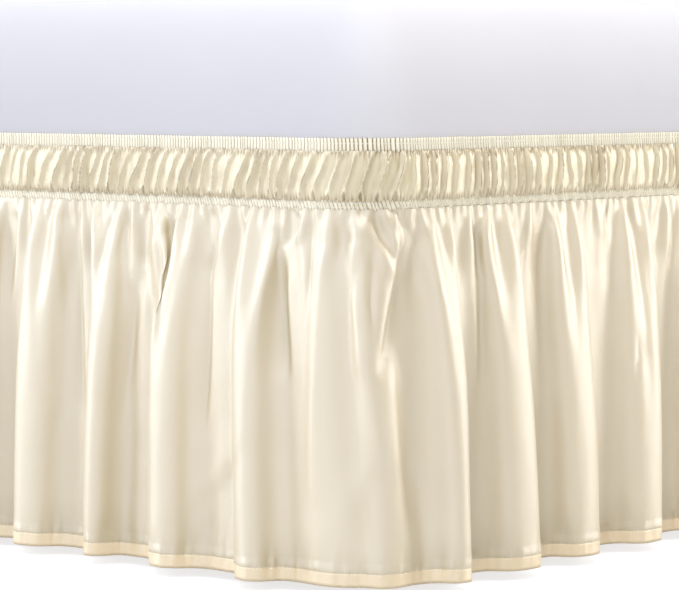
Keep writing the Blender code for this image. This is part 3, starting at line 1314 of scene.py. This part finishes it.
@dataclass
class SoftMattress:
    """The mattress: upright sides, soft uneven edges and a flat top."""

    side: MattressSide
    # The rows on the top inside its soft edge: how far in, and their share of the sag.
    top_rows: tuple[tuple[float, float], ...] = ((0.25, 0.0), (0.12, 0.10), (0.075, 0.35))
    shoulder: tuple[float, float] = (0.050, 0.105)
    bottom_radius: float = 0.018
    side_step: float = 0.012
    side_rows: int = 8
    edge_steps: int = 14
    bottom_steps: int = 4
    sag: float = 0.006
    # The dips along the edge: how much of the sag, and how far apart.
    dips: tuple[tuple[float, float], ...] = ((0.6, 0.32), (0.4, 0.11))
    inner_radius: float = 0.050
    seed: int = 31

    def profile(self, low: float, high: float) -> list[tuple[float, float, float]]:
        """The rows from the middle of the top, over the soft edge and down the side to the bottom.

        Args:
            low: the height of the bottom.
            high: the height of the top.

        Returns:
            How far in, how high and with what share of the sag each row lies.
        """
        rows = [(inset, high, share) for inset, share in self.top_rows]
        inwards, downwards = self.shoulder
        for step in range(self.edge_steps + 1):
            turn = math.pi / 2 * step / self.edge_steps
            inset = inwards * (1 - math.sin(turn))
            height = high - downwards * (1 - math.cos(turn))
            rows.append((inset, height, math.cos(turn) ** 0.5 if turn < math.pi / 2 else 0.0))
        bottom = low + self.bottom_radius
        upper = high - downwards
        for step in range(1, self.side_rows + 1):
            rows.append((0.0, upper + (bottom - upper) * step / (self.side_rows + 1), 0.0))
        for step in range(self.bottom_steps + 1):
            turn = math.pi / 2 * step / self.bottom_steps
            inset = self.bottom_radius * (1 - math.cos(turn))
            rows.append((inset, bottom - self.bottom_radius * math.sin(turn), 0.0))
        return rows

    def build(self, material: bpy.types.Material) -> bpy.types.Object:
        """Makes the mattress as one padded piece.

        Args:
            material: the cotton finish.

        Returns:
            The mattress's object.
        """
        low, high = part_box("mattress")
        perimeter = self.side.perimeter
        columns = 2 * round(perimeter / self.side_step / 2)
        along = np.arange(columns) / columns * perimeter
        draw = np.random.default_rng(self.seed)
        dips = sum(share * soft_noise(draw, along, apart, perimeter) for share, apart in self.dips)
        rows = []
        for inset, height, share in self.profile(low.z, high.z):
            drop = self.sag * share * (0.5 + 0.5 * dips)
            if inset <= self.side.radius:
                xy = self.side.place(along, -inset)
            else:
                xy = self.inner_line(along, inset)
            rows.append(np.column_stack([xy, height - drop]))
        points = np.array(rows)
        count = len(rows)
        quads = ring_quads(count, columns).tolist()
        quads.append(list(range(columns)))
        quads.append(list(range((count - 1) * columns, count * columns))[::-1])
        flat = flat_places(along, points[..., 2])
        piece = make_piece("bed_mattress", points, quads, material, flat)
        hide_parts("mattress")
        return piece

    def inner_line(self, along: np.ndarray, inset: float) -> np.ndarray:
        """A smaller rounded outline for the middle of the top, further in than the corner radius.

        Args:
            along: distances round the mattress side.
            inset: how far in the outline lies.

        Returns:
            The (x, y) points.
        """
        edge = self.side.place(along)
        core = np.array(self.side.corner)
        middle = np.clip(edge, -core, core)
        smaller = core + self.side.radius - inset - self.inner_radius
        return middle * smaller / core + (edge - middle) * self.inner_radius / self.side.radius


# ------------------------------------------------------------------ finishes


@dataclass(frozen=True)
class Finish:
    """A finish built from nodes on one Principled shader."""

    name: str
    colour: tuple[float, float, float]
    roughness: float
    sheen: float = 0.0
    specular: float = 0.5
    ior: float = 1.5
    sheen_roughness: float = 0.35

    def shader(self) -> tuple[bpy.types.Material, bpy.types.Node]:
        """A new material and its shader, with the values that are the same all over."""
        material = bpy.data.materials.new(self.name)
        material.use_nodes = True
        shader = material.node_tree.nodes["Principled BSDF"]
        shader.inputs["Base Color"].default_value = (*self.colour, 1.0)
        shader.inputs["Roughness"].default_value = self.roughness
        shader.inputs["Sheen Weight"].default_value = self.sheen
        shader.inputs["Sheen Roughness"].default_value = self.sheen_roughness
        shader.inputs["Specular IOR Level"].default_value = self.specular
        shader.inputs["IOR"].default_value = self.ior
        return material, shader


def link(material: bpy.types.Material, source: bpy.types.NodeSocket, target: bpy.types.NodeSocket) -> None:
    """Joins two sockets of a material."""
    material.node_tree.links.new(source, target)


def add_bump(
    material: bpy.types.Material,
    shader: bpy.types.Node,
    height: bpy.types.NodeSocket,
    distance: float,
    under: bpy.types.Node | None = None,
) -> bpy.types.Node:
    """Adds a bump from a height socket.

    Args:
        material: the material.
        shader: its shader, which gets the bump.
        height: the height, where 1 stands for the distance.
        distance: the bump's height in metres.
        under: another bump that this one lies on.

    Returns:
        The bump's node.
    """
    bump = material.node_tree.nodes.new("ShaderNodeBump")
    bump.inputs["Distance"].default_value = distance
    bump.inputs["Strength"].default_value = 1.0
    link(material, height, bump.inputs["Height"])
    if under is not None:
        link(material, under.outputs["Normal"], bump.inputs["Normal"])
    link(material, bump.outputs["Normal"], shader.inputs["Normal"])
    return bump


class Nodes:
    """Adds nodes to a material or the surround and joins them, so that it reads as a chain of steps."""

    def __init__(self, material: bpy.types.Material | bpy.types.World) -> None:
        self.material = material
        self.nodes = material.node_tree.nodes

    def _set(self, socket: bpy.types.NodeSocket, value: object) -> None:
        """Joins a socket to another, or gives it a value."""
        if isinstance(value, bpy.types.NodeSocket):
            link(self.material, value, socket)
        else:
            socket.default_value = value

    def cloth_place(self) -> tuple[bpy.types.NodeSocket, bpy.types.NodeSocket]:
        """The place on the flat cloth in metres.

        Returns:
            The place along the cloth, and the place down it as a negative number.
        """
        place = self.nodes.new("ShaderNodeUVMap")
        place.uv_map = "flat"
        parts = self.nodes.new("ShaderNodeSeparateXYZ")
        link(self.material, place.outputs["UV"], parts.inputs["Vector"])
        return parts.outputs["X"], parts.outputs["Y"]

    def object_place(self) -> bpy.types.NodeSocket:
        """The place in the bed's own space."""
        return self.nodes.new("ShaderNodeTexCoord").outputs["Object"]

    def join(self, *values: object) -> bpy.types.NodeSocket:
        """Makes a vector.

        Args:
            values: its three numbers or sockets.

        Returns:
            The vector.
        """
        node = self.nodes.new("ShaderNodeCombineXYZ")
        for socket, value in zip(node.inputs, values):
            self._set(socket, value)
        return node.outputs["Vector"]

    def maths(self, kind: str, *values: object) -> bpy.types.NodeSocket:
        """Makes one step of arithmetic.

        Args:
            kind: the name of the operation.
            values: its numbers or sockets.

        Returns:
            The result.
        """
        node = self.nodes.new("ShaderNodeMath")
        node.operation = kind
        for socket, value in zip(node.inputs, values):
            self._set(socket, value)
        return node.outputs["Value"]

    def noise(self, at: bpy.types.NodeSocket, scale: float, detail: float = 2.0) -> bpy.types.NodeSocket:
        """Makes soft noise.

        Args:
            at: the place.
            scale: how many patches lie in a metre.
            detail: how many finer layers are added.

        Returns:
            A value from 0 to 1.
        """
        node = self.nodes.new("ShaderNodeTexNoise")
        node.inputs["Scale"].default_value = scale
        node.inputs["Detail"].default_value = detail
        link(self.material, at, node.inputs["Vector"])
        return node.outputs["Fac"]

    def weave(self, along: object, down: object, pitch: float) -> bpy.types.NodeSocket:
        """Makes threads that run both ways.

        Args:
            along: the place along the cloth.
            down: the place down it.
            pitch: the distance from thread to thread.

        Returns:
            A value from -1 to 1.
        """
        weft = self.maths("SINE", self.maths("MULTIPLY", down, math.tau / pitch))
        warp = self.maths("SINE", self.maths("MULTIPLY", along, math.tau / pitch))
        return self.maths("MULTIPLY", weft, warp)

    def facing(self, direction: Vector) -> bpy.types.NodeSocket:
        """Compares a direction of the surround with a fixed one.

        Args:
            direction: the fixed direction, of length 1.

        Returns:
            A value from -1 where they are opposite to 1 where they are the same.
        """
        place = self.nodes.new("ShaderNodeTexCoord")
        node = self.nodes.new("ShaderNodeVectorMath")
        node.operation = "DOT_PRODUCT"
        node.inputs[1].default_value = direction
        link(self.material, place.outputs["Generated"], node.inputs[0])
        return node.outputs["Value"]

    def openness(self, reach: float) -> bpy.types.NodeSocket:
        """Finds how open the surface is.

        Args:
            reach: how far away other cloth still counts.

        Returns:
            A value from 0 deep in a fold to 1 on a flat.
        """
        node = self.nodes.new("ShaderNodeAmbientOcclusion")
        node.samples = 6
        node.inputs["Distance"].default_value = reach
        return node.outputs["AO"]

    def ramp(
        self,
        value: bpy.types.NodeSocket,
        low: float,
        high: float,
        ends: tuple[float, float] = (0.0, 1.0),
    ) -> bpy.types.NodeSocket:
        """Makes a smooth step.

        Args:
            value: the value that moves it.
            low: the value where it starts.
            high: the value where it is done.
            ends: what it gives at its start and its end.

        Returns:
            The stepped value.
        """
        node = self.nodes.new("ShaderNodeMapRange")
        node.interpolation_type = "SMOOTHSTEP"
        node.inputs["From Min"].default_value = low
        node.inputs["From Max"].default_value = high
        node.inputs["To Min"].default_value, node.inputs["To Max"].default_value = ends
        link(self.material, value, node.inputs["Value"])
        return node.outputs["Result"]

    def blend(self, share: object, first: object, second: object) -> bpy.types.NodeSocket:
        """Mixes two colours.

        Args:
            share: the second colour's share.
            first: a colour or its socket.
            second: another colour or its socket.

        Returns:
            The mixed colour.
        """
        node = self.nodes.new("ShaderNodeMix")
        node.data_type = "RGBA"
        colours = [socket for socket in node.inputs if socket.type == "RGBA"]
        self._set(node.inputs[0], share)
        for socket, value in zip(colours, (first, second)):
            self._set(socket, value if isinstance(value, bpy.types.NodeSocket) else (*value, 1.0))
        return next(socket for socket in node.outputs if socket.type == "RGBA")


@dataclass(frozen=True)
class SatinFinish:
    """Cream satin-like microfibre: fine cross threads, faint crumples, a warmer double hem and painted
    shade deep in its folds.
    """

    name: str = "satin_drop"
    colour: tuple[float, float, float] = (0.66, 0.55, 0.365)
    hem_colour: tuple[float, float, float] = (0.80, 0.62, 0.36)
    fold_shade: tuple[float, float, float] = (0.40, 0.31, 0.14)
    fold_shade_reach: float = 0.060
    fold_shade_range: tuple[float, float] = (0.36, 0.92)
    roughness: float = 0.40
    sheen: float = 0.1
    specular: float = 1.0
    ior: float = 2.05
    cloud_scale: float = 9.0
    cloud_tint: float = 1.02
    hem_line: float = 0.3083
    hem_soft: float = 0.0012
    stitch_pitch: float = 0.0034
    stitch_share: float = 0.3
    groove_width: float = 0.0011
    groove_depth: float = 0.0006
    thread_pitch: float = 0.00045
    thread_height: float = 0.00002
    crumple: float = 0.0005
    crumple_scale: float = 38.0
    pucker: float = 0.0020
    pucker_scale: float = 95.0
    pucker_fade: float = 0.010

    def build(self) -> bpy.types.Material:
        """The finished material."""
        look = Finish(self.name, self.colour, self.roughness, self.sheen, self.specular, self.ior)
        material, shader = look.shader()
        steps = Nodes(material)
        along, down = steps.cloth_place()
        depth = steps.maths("MULTIPLY", down, -1.0)
        hem = steps.ramp(depth, self.hem_line - self.hem_soft, self.hem_line + self.hem_soft)
        place = steps.object_place()
        cloudy = steps.ramp(steps.noise(place, self.cloud_scale), 0.35, 0.65)
        cloth = steps.blend(cloudy, self.colour, tuple(self.cloud_tint * v for v in self.colour))
        # Painted shade: deep in folds and hollows the colour turns to a darker, stronger brown, standing
        # in for the shade there and for the light that bounces between the sides of a fold.
        shown = steps.ramp(steps.openness(self.fold_shade_reach), *self.fold_shade_range)
        cloth = steps.blend(shown, self.fold_shade, cloth)
        link(material, steps.blend(hem, cloth, self.hem_colour), shader.inputs["Base Color"])
        # The threads are too fine to see from afar.
        threads = steps.weave(along, depth, self.thread_pitch)
        weave = add_bump(material, shader, threads, self.thread_height)
        crumpled = steps.noise(place, self.crumple_scale, 3.0)
        crumples = add_bump(material, shader, crumpled, self.crumple, weave)
        # Upright puckers above and below the hem's row of stitches.
        stretched = steps.maths("MULTIPLY", along, self.pucker_scale)
        pleats = steps.noise(steps.join(stretched, depth, 0.0), 1.0, 1.0)
        above = steps.ramp(depth, self.hem_line - self.pucker_fade, self.hem_line)
        raised = steps.maths("MULTIPLY", pleats, above)
        puckers = add_bump(material, shader, raised, self.pucker, crumples)
        # The stitches lie in a dotted groove.
        off_line = steps.maths("ABSOLUTE", steps.maths("SUBTRACT", depth, self.hem_line))
        near_line = steps.ramp(off_line, self.groove_width, 0.0)
        dots = steps.maths("SINE", steps.maths("MULTIPLY", along, math.tau / self.stitch_pitch))
        sunk = steps.maths("MULTIPLY_ADD", dots, -self.stitch_share, self.stitch_share - 1)
        groove = steps.maths("MULTIPLY", near_line, sunk)
        add_bump(material, shader, groove, self.groove_depth, puckers)
        return material


@dataclass(frozen=True)
class ShirredFinish:
    """The same cloth tightly gathered over elastic: light ribs, with painted shade in the brown gaps
    between them.
    """

    name: str
    rib_pitch: float
    rib: tuple[float, float, float] = (1.0, 0.95, 0.78)
    gap_shade: tuple[float, float, float] = (0.24, 0.15, 0.05)
    unevenness: float = 0.35
    patches: float = 160.0
    edge: tuple[float, float] = (0.25, 0.80)
    grain_scale: float = 900.0
    grain_height: float = 0.0003

    def build(self) -> bpy.types.Material:
        """The finished material."""
        look = Finish(self.name, self.rib, roughness=0.5, sheen=0.2, specular=0.8)
        material, shader = look.shader()
        steps = Nodes(material)
        along, up = steps.cloth_place()
        # Painted shade: the gaps between the ribs are coloured dark brown, with uneven edges.
        turn = steps.maths("MULTIPLY", along, math.pi / self.rib_pitch)
        rise = steps.maths("ABSOLUTE", steps.maths("SINE", turn))
        stretched = steps.maths("MULTIPLY", along, self.patches)
        uneven = steps.noise(steps.join(stretched, up, 0.0), 1.0)
        level = steps.maths("MULTIPLY_ADD", uneven, self.unevenness, rise)
        shown = steps.ramp(level, *(place + self.unevenness / 2 for place in self.edge))
        link(material, steps.blend(shown, self.gap_shade, self.rib), shader.inputs["Base Color"])
        grain = steps.noise(steps.object_place(), self.grain_scale)
        add_bump(material, shader, grain, self.grain_height)
        return material


def thread_finish() -> bpy.types.Material:
    """Cream sewing thread, a little shiny, with a twist along it."""
    look = Finish("thread", (0.97, 0.95, 0.88), roughness=0.45, sheen=0.3)
    material, shader = look.shader()
    steps = Nodes(material)
    place = steps.object_place()
    pale = steps.blend(steps.noise(place, 700.0), look.colour, (0.88, 0.83, 0.70))
    link(material, pale, shader.inputs["Base Color"])
    add_bump(material, shader, steps.noise(place, 2500.0), 0.0001)
    return material


@dataclass(frozen=True)
class CottonFinish:
    """Matt white cotton: a plain weave and soft unevenness."""

    colour: tuple[float, float, float] = (0.565, 0.55, 0.57)
    cloud_scale: float = 5.0
    cloud_tint: float = 1.04
    thread_pitch: float = 0.0011
    thread_height: float = 0.00003
    bumps_scale: float = 7.0
    bumps_height: float = 0.004

    def build(self) -> bpy.types.Material:
        """The finished material."""
        material, shader = Finish("cotton", self.colour, roughness=0.85, sheen=0.1).shader()
        steps = Nodes(material)
        along, up = steps.cloth_place()
        place = steps.object_place()
        cloudy = steps.noise(place, self.cloud_scale)
        tint = steps.blend(cloudy, self.colour, tuple(self.cloud_tint * v for v in self.colour))
        link(material, tint, shader.inputs["Base Color"])
        threads = steps.weave(along, up, self.thread_pitch)
        weave = add_bump(material, shader, threads, self.thread_height)
        bumps = steps.noise(place, self.bumps_scale, 3.0)
        add_bump(material, shader, bumps, self.bumps_height, weave)
        return material


@dataclass(frozen=True)
class WoodFinish:
    """Plain wood whose grain runs along one axis, or chipboard where it has none."""

    name: str
    pale: tuple[float, float, float]
    dark: tuple[float, float, float]
    stretch: tuple[float, float, float]
    scale: float
    roughness: float
    grain_height: float = 0.0008

    def build(self) -> bpy.types.Material:
        """The finished material."""
        material, shader = Finish(self.name, self.pale, self.roughness).shader()
        steps = Nodes(material)
        place = steps.nodes.new("ShaderNodeMapping")
        place.inputs["Scale"].default_value = self.stretch
        link(material, steps.object_place(), place.inputs["Vector"])
        grain = steps.noise(place.outputs["Vector"], self.scale, 6.0)
        shown = steps.ramp(grain, 0.35, 0.68)
        link(material, steps.blend(shown, self.pale, self.dark), shader.inputs["Base Color"])
        add_bump(material, shader, grain, self.grain_height)
        return material

    def dress(self, nodes: Sequence[str]) -> None:
        """Gives the solids of these nodes the finish in place of their own.

        Args:
            nodes: the names of the solids.
        """
        material = self.build()
        for name in nodes:
            solid = bpy.data.objects[name]
            solid.data.materials.clear()
            solid.data.materials.append(material)


BOARD = WoodFinish("board", (0.52, 0.40, 0.27), (0.36, 0.25, 0.15), (3.0, 3.0, 3.0), 55.0, 0.7)
BEECH = WoodFinish("beech", (0.42, 0.27, 0.15), (0.24, 0.14, 0.07), (14.0, 14.0, 1.0), 5.0, 0.45)


# ------------------------------------------------------------------ the studio


@dataclass(frozen=True)
class SoftLight:
    """A soft light: its turn from the camera's direction, height, distance, size and power."""

    name: str
    turn: float
    height: float
    distance: float
    size: tuple[float, float]
    power: float
    colour: tuple[float, float, float] = (1.0, 1.0, 1.0)
    aim: float = 0.22
    for_mattress: bool = False


@dataclass
class Studio:
    """The camera, the lights and the floor."""

    side: MattressSide
    azimuth: float = 40.4
    distance: float = 2.35
    eye_height: float = 0.435
    focal_px: float = 2810.0
    frame_px: tuple[int, int] = (679, 590)
    corner_px: float = 371.0
    horizon_px: float = 84.6
    sensor: float = 36.0
    surround: float = 1.30
    surround_front: float = 0.13
    surround_cool: tuple[float, float, float] = (0.80, 0.87, 1.0)
    surround_warm: tuple[float, float, float] = (1.0, 0.98, 0.94)
    dim_turn: float = 80.0
    dim_from: float = 0.0
    tint_reach: float = 0.35
    floor_reach: float = 30.0
    floor_glow: float = 0.27
    floor_shown: float = 0.74
    floor_colour: tuple[float, float, float] = (0.52, 0.52, 0.52)
    lights: tuple[SoftLight, ...] = (
        SoftLight("light_left", -100.0, 0.9, 2.8, (0.8, 1.6), 25.0, (0.92, 0.95, 1.0)),
        SoftLight("light_right", 105.0, 0.9, 2.6, (0.8, 1.6), 36.0, (1.0, 0.99, 0.97)),
        SoftLight("light_top", 0.0, 2.6, 1.0, (2.4, 1.2), 31.0, aim=0.3),
        SoftLight("light_mattress", 0.0, 2.6, 1.2, (2.6, 1.2), 48.0, aim=0.45, for_mattress=True),
        SoftLight("light_far_side", 85.0, 2.2, 1.8, (1.6, 1.2), 28.0, aim=0.45, for_mattress=True),
    )

    @property
    def corner(self) -> Vector:
        """The bed's corner that the camera faces, on the floor."""
        return Vector((self.side.half_width, -self.side.half_length, 0.0))

    def towards(self, turn: float) -> Vector:
        """The level direction from the corner towards this turn from the camera."""
        angle = math.radians(self.azimuth + turn)
        return Vector((math.sin(angle), -math.cos(angle), 0.0))

    def add_camera(self) -> None:
        """Places the camera where the photograph was taken from."""
        data = bpy.data.cameras.new("camera")
        width, height = self.frame_px
        data.sensor_width = self.sensor
        data.lens = self.focal_px * self.sensor / width
        camera = bpy.data.objects.new("camera", data)
        bpy.context.scene.collection.objects.link(camera)
        camera.location = self.corner + self.towards(0.0) * self.distance
        camera.location.z = self.eye_height
        yaw = math.atan((self.corner_px - width / 2) / self.focal_px)
        pitch = math.atan((height / 2 - self.horizon_px) / self.focal_px)
        ahead = Quaternion((0, 0, 1), yaw) @ -self.towards(0.0)
        ahead = ahead * math.cos(pitch) - Vector((0, 0, math.sin(pitch)))
        camera.rotation_euler = ahead.to_track_quat("-Z", "Y").to_euler()
        bpy.context.scene.camera = camera

    def add_lights(self) -> None:
        """Adds the soft lights, each turned to the drop at the corner."""
        for soft in self.lights:
            aim = self.corner + Vector((0, 0, soft.aim))
            data = bpy.data.lights.new(soft.name, "AREA")
            data.shape = "RECTANGLE"
            data.size, data.size_y = soft.size
            data.energy = soft.power
            data.color = soft.colour
            lamp = bpy.data.objects.new(soft.name, data)
            lamp.location = self.corner + self.towards(soft.turn) * soft.distance
            lamp.location.z = soft.height
            lamp.rotation_euler = (aim - lamp.location).to_track_quat("-Z", "Y").to_euler()
            bpy.context.scene.collection.objects.link(lamp)

    def share_lights(self, mattress: bpy.types.Object) -> None:
        """Keeps the mattress's own lights on it alone and the cloth's lights off it.

        Args:
            mattress: the mattress's object.
        """
        alone = bpy.data.collections.new("mattress_alone")
        alone.objects.link(mattress)
        spared = bpy.data.collections.new("mattress_spared")
        spared.objects.link(mattress)
        spared.collection_objects[0].light_linking.link_state = "EXCLUDE"
        for soft in self.lights:
            receivers = alone if soft.for_mattress else spared
            bpy.data.objects[soft.name].light_linking.receiver_collection = receivers

    def add_world(self) -> None:
        """A plain surround, dimmer and warmer on the right so that the folds get their shading."""
        world = bpy.data.worlds.new("surround")
        world.use_nodes = True
        nodes, links = world.node_tree.nodes, world.node_tree.links
        steps = Nodes(world)
        soft = nodes["Background"]
        dimmed = steps.facing(self.towards(self.dim_turn))
        strength = steps.ramp(dimmed, self.dim_from, 1.0, (self.surround, self.surround_front))
        links.new(strength, soft.inputs["Strength"])
        # The side to the left of the camera is cooler than the side to its right.
        sideways = steps.facing(self.towards(90.0))
        warmth = steps.ramp(sideways, -self.tint_reach, self.tint_reach)
        tint = steps.blend(warmth, self.surround_cool, self.surround_warm)
        links.new(tint, soft.inputs["Color"])
        # The picture's ground is plain white.
        seen = nodes.new("ShaderNodeBackground")
        seen.inputs["Color"].default_value = (1.0, 1.0, 1.0, 1.0)
        path = nodes.new("ShaderNodeLightPath")
        mix = nodes.new("ShaderNodeMixShader")
        links.new(path.outputs["Is Camera Ray"], mix.inputs["Fac"])
        links.new(soft.outputs["Background"], mix.inputs[1])
        links.new(seen.outputs["Background"], mix.inputs[2])
        links.new(mix.outputs["Shader"], nodes["World Output"].inputs["Surface"])
        bpy.context.scene.world = world
        bpy.context.scene.view_settings.view_transform = "Standard"

    def add_floor(self) -> None:
        """A plain pale floor."""
        mesh = bpy.data.meshes.new("floor")
        reach = self.floor_reach
        corners = [(-reach, -reach, 0), (reach, -reach, 0), (reach, reach, 0), (-reach, reach, 0)]
        mesh.from_pydata(corners, [], [(0, 1, 2, 3)])
        material, shader = Finish("floor", self.floor_colour, roughness=0.9).shader()
        shader.inputs["Emission Color"].default_value = (1.0, 1.0, 1.0, 1.0)
        # The floor shows as a pale sweep but lights the cloth only a little from below.
        path = material.node_tree.nodes.new("ShaderNodeLightPath")
        seen, extra = path.outputs["Is Camera Ray"], self.floor_shown - self.floor_glow
        glow = Nodes(material).maths("MULTIPLY_ADD", seen, extra, self.floor_glow)
        link(material, glow, shader.inputs["Emission Strength"])
        mesh.materials.append(material)
        floor = bpy.data.objects.new("floor", mesh)
        bpy.context.scene.collection.objects.link(floor)

    def build(self) -> None:
        """Sets up the whole studio."""
        self.add_camera()
        self.add_lights()
        self.add_world()
        self.add_floor()


def main() -> None:
    """Builds the bed skirt, the bed and the studio."""
    logging.basicConfig(level=logging.INFO, format="%(message)s")
    side = MattressSide.from_frame()
    studio = Studio(side)
    studio.build()
    BOARD.dress(["bed_base"])
    BEECH.dress([f"leg_{number}" for number in range(1, 5)])
    studio.share_lights(SoftMattress(side).build(CottonFinish().build()))
    satin = SatinFinish().build()
    # The heading's satin has darker painted shade in its small folds than the drop's.
    heading = SatinFinish(
        name="satin_heading",
        colour=(0.71, 0.60, 0.36),
        fold_shade=(0.31, 0.185, 0.05),
        fold_shade_reach=0.006,
        fold_shade_range=(0.50, 1.0),
        roughness=0.33,
        ior=1.95,
    ).build()
    thread = thread_finish()
    top = ShirredElastic("top_elastic", "elastic_top", side, 0.05, True, (0.38,), 41)
    lower = ShirredElastic("lower_elastic", "elastic_lower", side, 0.35, False, (0.30, 0.72), 43)
    # The lower elastic gets lighter painted shade in its rib gaps than the top one.
    finishes = (
        ShirredFinish("shirred_top", top.rib_pitch),
        ShirredFinish("shirred_lower", lower.rib_pitch, gap_shade=(0.46, 0.34, 0.17)),
    )
    for elastic, finish in zip((top, lower), finishes):
        elastic.build(finish.build())
        elastic.sew(thread)
    PuffedRuffle(side).build(heading)
    low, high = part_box("skirt_drop")
    GatheredDrop(side, high.z, low.z).build(satin)


if __name__ == "__main__":
    main()
